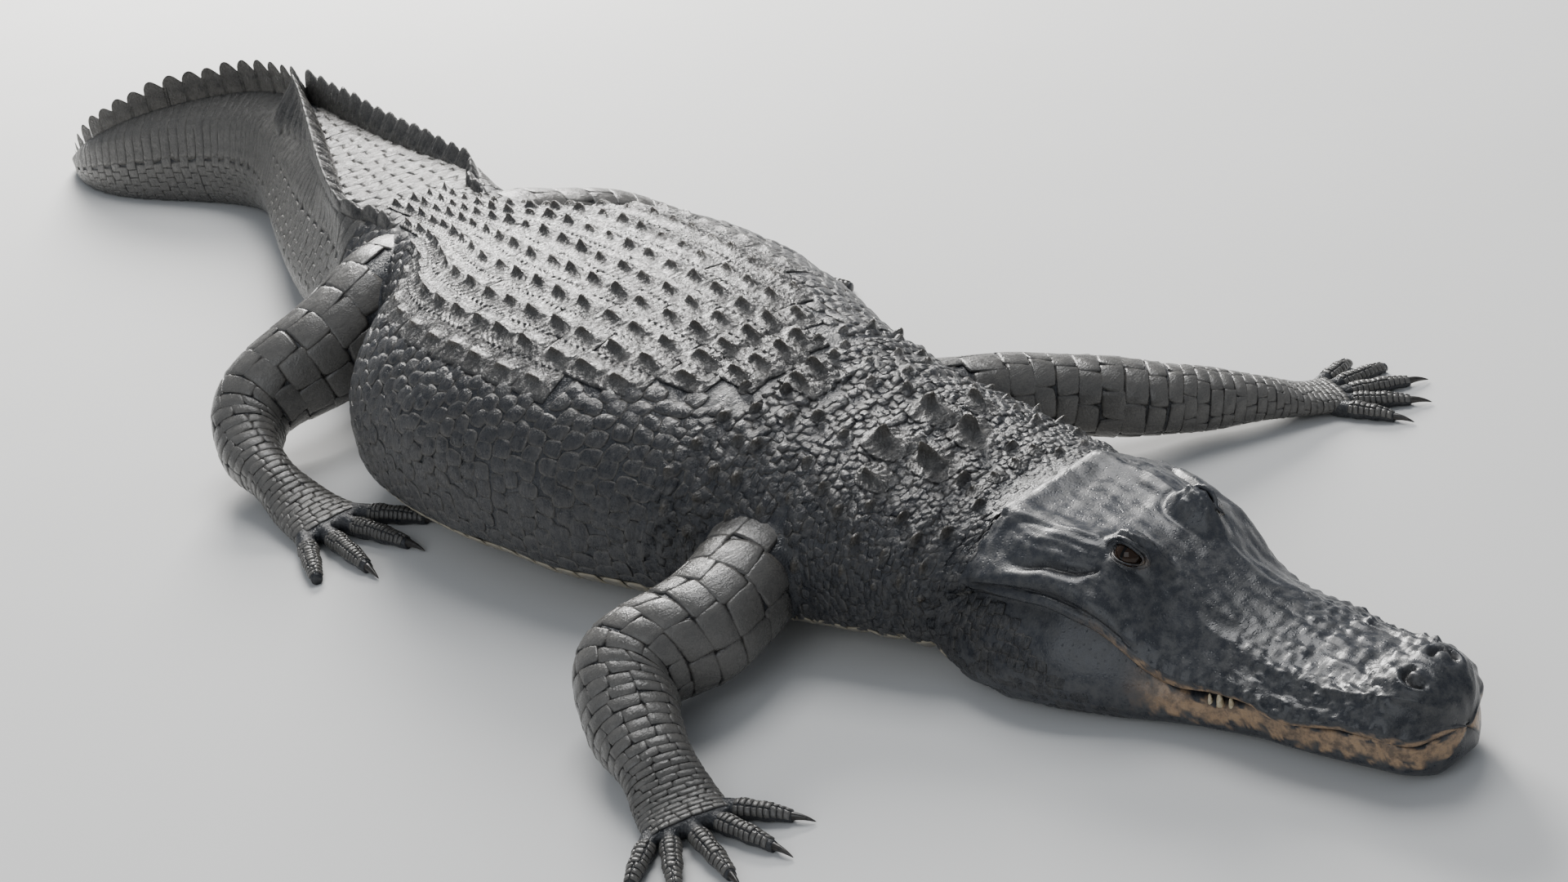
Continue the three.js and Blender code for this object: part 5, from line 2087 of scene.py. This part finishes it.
@dataclass
class Studio:
    """Pale floor, soft lights and the camera of the photograph.

    Attributes:
        eye: Camera place in metres.
        azimuth: Horizontal direction of view in degrees from +X.
        pitch: Angle below the horizon in degrees.
        roll: Clockwise roll in radians.
        lens: Focal length in millimetres on a 36 mm frame.
    """

    eye: Triple = (2.7231, -1.3962, 1.2898)
    azimuth: float = 146.386
    pitch: float = 25.955
    roll: float = 0.203
    lens: float = 56.27

    def camera(self) -> None:
        """Sets the camera up."""
        a = radians(self.azimuth)
        p = radians(self.pitch)
        ahead = Vector((cos(a), sin(a), 0))
        right = ahead.cross(Vector((0, 0, 1)))
        look = ahead * cos(p) - Vector((0, 0, sin(p)))
        up = right.cross(look)
        turned = right * cos(self.roll) - up * sin(self.roll)
        raised = up * cos(self.roll) + right * sin(self.roll)
        data = bpy.data.cameras.new("camera")
        data.lens = self.lens
        data.sensor_width = 36
        data.clip_end = 60
        camera = bpy.data.objects.new("camera", data)
        matrix = Matrix((turned, raised, -look)).transposed().to_4x4()
        matrix.translation = Vector(self.eye)
        camera.matrix_world = matrix
        bpy.context.scene.collection.objects.link(camera)
        bpy.context.scene.camera = camera

    def light(self, name: str, place: Triple, size: float, power: float,
              tint: Triple = (1, 1, 1)) -> None:
        """Adds a soft square light that faces the animal.

        Args:
            name: Name of the lamp.
            place: Its place in metres.
            size: Length of its side in metres.
            power: Its power in watts.
            tint: Its colour.
        """
        data = bpy.data.lights.new(name, "AREA")
        data.shape = "SQUARE"
        data.size = size
        data.energy = power
        data.color = tint
        lamp = bpy.data.objects.new(name, data)
        lamp.location = place
        lamp.rotation_euler = (Vector((0.1, 0, 0.1)) - Vector(place)).to_track_quat("-Z", "Y").to_euler()
        bpy.context.scene.collection.objects.link(lamp)

    def build(self) -> None:
        """Floor, lights and world."""
        bm = bmesh.new()
        bmesh.ops.create_grid(bm, x_segments=2, y_segments=2, size=14)
        floor = finish_mesh(bm, "floor")
        material = bpy.data.materials.new("floor pale")
        material.use_nodes = True
        g = Graph(material.node_tree)
        shader = material.node_tree.nodes["Principled BSDF"]
        noise = g.add("TexNoise", {"Vector": g.add("TexCoord").outputs["Object"], "Scale": 3.0})
        tint = g.mix(noise.outputs["Fac"], (0.62, 0.62, 0.61, 1), (0.66, 0.66, 0.65, 1))
        g.tree.links.new(tint, shader.inputs["Base Color"])
        shader.inputs["Roughness"].default_value = 0.9
        floor.data.materials.append(material)
        world = bpy.data.worlds.new("soft sky")
        world.use_nodes = True
        back = world.node_tree.nodes["Background"]
        back.inputs["Color"].default_value = (0.80, 0.86, 0.95, 1)
        back.inputs["Strength"].default_value = 0.36
        bpy.context.scene.world = world
        self.light("key", (-3.9, 2.5, 2.5), 2.2, 680, (1, 0.98, 0.95))
        self.light("top", (-0.6, 1.4, 4.2), 2.4, 150)
        self.light("fill", (2.4, -3.6, 2.4), 3.0, 48, (0.92, 0.96, 1))
        self.camera()


def make_hides() -> list[Material]:
    """The finishes of skin and coat.

    Returns:
        Hide, shields, flank scales, tail plates, limb plates and belly plates.
    """
    grain = grain_effect()
    mottle = mottle_effect()
    finishes = (
        HideFinish("hide slate", (0.016, 0.018, 0.022), (0.040, 0.043, 0.051), (0.120, 0.118, 0.112), 0.34,
                   0.42, marks=True),
        HideFinish("shield horn", (0.032, 0.031, 0.030), (0.066, 0.065, 0.064), (0.165, 0.158, 0.146), 0.23,
                   0.7, groove=0.15, crown=(0.046, 0.038, 0.027)),
        HideFinish("flank scale", (0.014, 0.015, 0.018), (0.034, 0.036, 0.041), (0.150, 0.142, 0.128), 0.33,
                   0.6, border=0.5, groove=0.1, crown=(0.030, 0.031, 0.034)),
        HideFinish("tail plate", (0.019, 0.019, 0.020), (0.042, 0.041, 0.041), (0.170, 0.164, 0.150), 0.27,
                   0.6, border=0.42, groove=0.0),
        HideFinish("limb plate", (0.036, 0.035, 0.034), (0.078, 0.075, 0.073), (0.190, 0.176, 0.152), 0.25,
                   0.4, groove=0.6, creased=0.5),
        HideFinish("belly plate", (0.24, 0.21, 0.15), (0.36, 0.32, 0.24), (0.46, 0.43, 0.36), 0.5, 0.3))
    return [finish.build(grain, mottle) for finish in finishes]


def dress(piece: Object, material: Material) -> Object:
    """Gives a piece its material, body and slot, and reports it.

    Args:
        piece: The piece.
        material: Its finish.

    Returns:
        The same piece.
    """
    piece.data.materials.clear()
    piece.data.materials.append(material)
    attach(piece, ROOT)
    mesh = piece.data
    mesh.calc_loop_triangles()
    log.info("%s: %d faces, %d triangles", piece.name, len(mesh.polygons), len(mesh.loop_triangles))
    return piece


def main() -> None:
    """Builds the alligator and its studio."""
    logging.basicConfig(level=logging.INFO, format="%(name)s %(message)s")
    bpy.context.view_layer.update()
    Studio().build()
    body = Body()
    limbs = make_limbs(body)
    eyes = [Eye(body, side) for side in (Side.RIGHT, Side.LEFT)]
    hide, shield, scale, tail_scale, limb_scale, cream = make_hides()
    horn = HornFinish("claw horn", (0.010, 0.009, 0.008), (0.045, 0.040, 0.035), 0.32).build()
    ivory = HornFinish("tooth ivory", (0.34, 0.27, 0.16), (0.56, 0.49, 0.35), 0.25).build()
    glass = EyeFinish().build()

    skin = Skin(body, limbs, eyes).build()
    dress(skin, hide)
    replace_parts(skin, *FLESH)
    armour = Armour(body)
    low, cones = armour.neck()
    flat, ribs = armour.tail()
    for piece, material in (
            (armour.shields(), shield), (armour.nape(), shield), (low, scale), (cones, shield),
            (armour.flank(), scale), (armour.belly(), cream), (flat, tail_scale), (ribs, tail_scale),
            (armour.crest(), tail_scale), (armour.jowl(), scale)):
        dress(piece, material)
    plating = Plating(limbs)
    for limb, name in zip(limbs, ("hand_right", "hand_left", "foot_right", "foot_left")):
        dress(plating.plates(limb, f"plates_{name}", name.startswith("foot")), limb_scale)
        for i, toe in enumerate(limb.toes()[:3]):
            claw = dress(plating.claw(toe, f"horn_{name}_{i + 1}"), horn)
            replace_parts(claw, f"claw_{name}_{i + 1}")
    for eye in eyes:
        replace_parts(dress(eye.ball(), glass), f"eye_{eye.side.name.lower()}")
    dress(make_teeth(body), ivory)


if __name__ == "__main__":
    main()
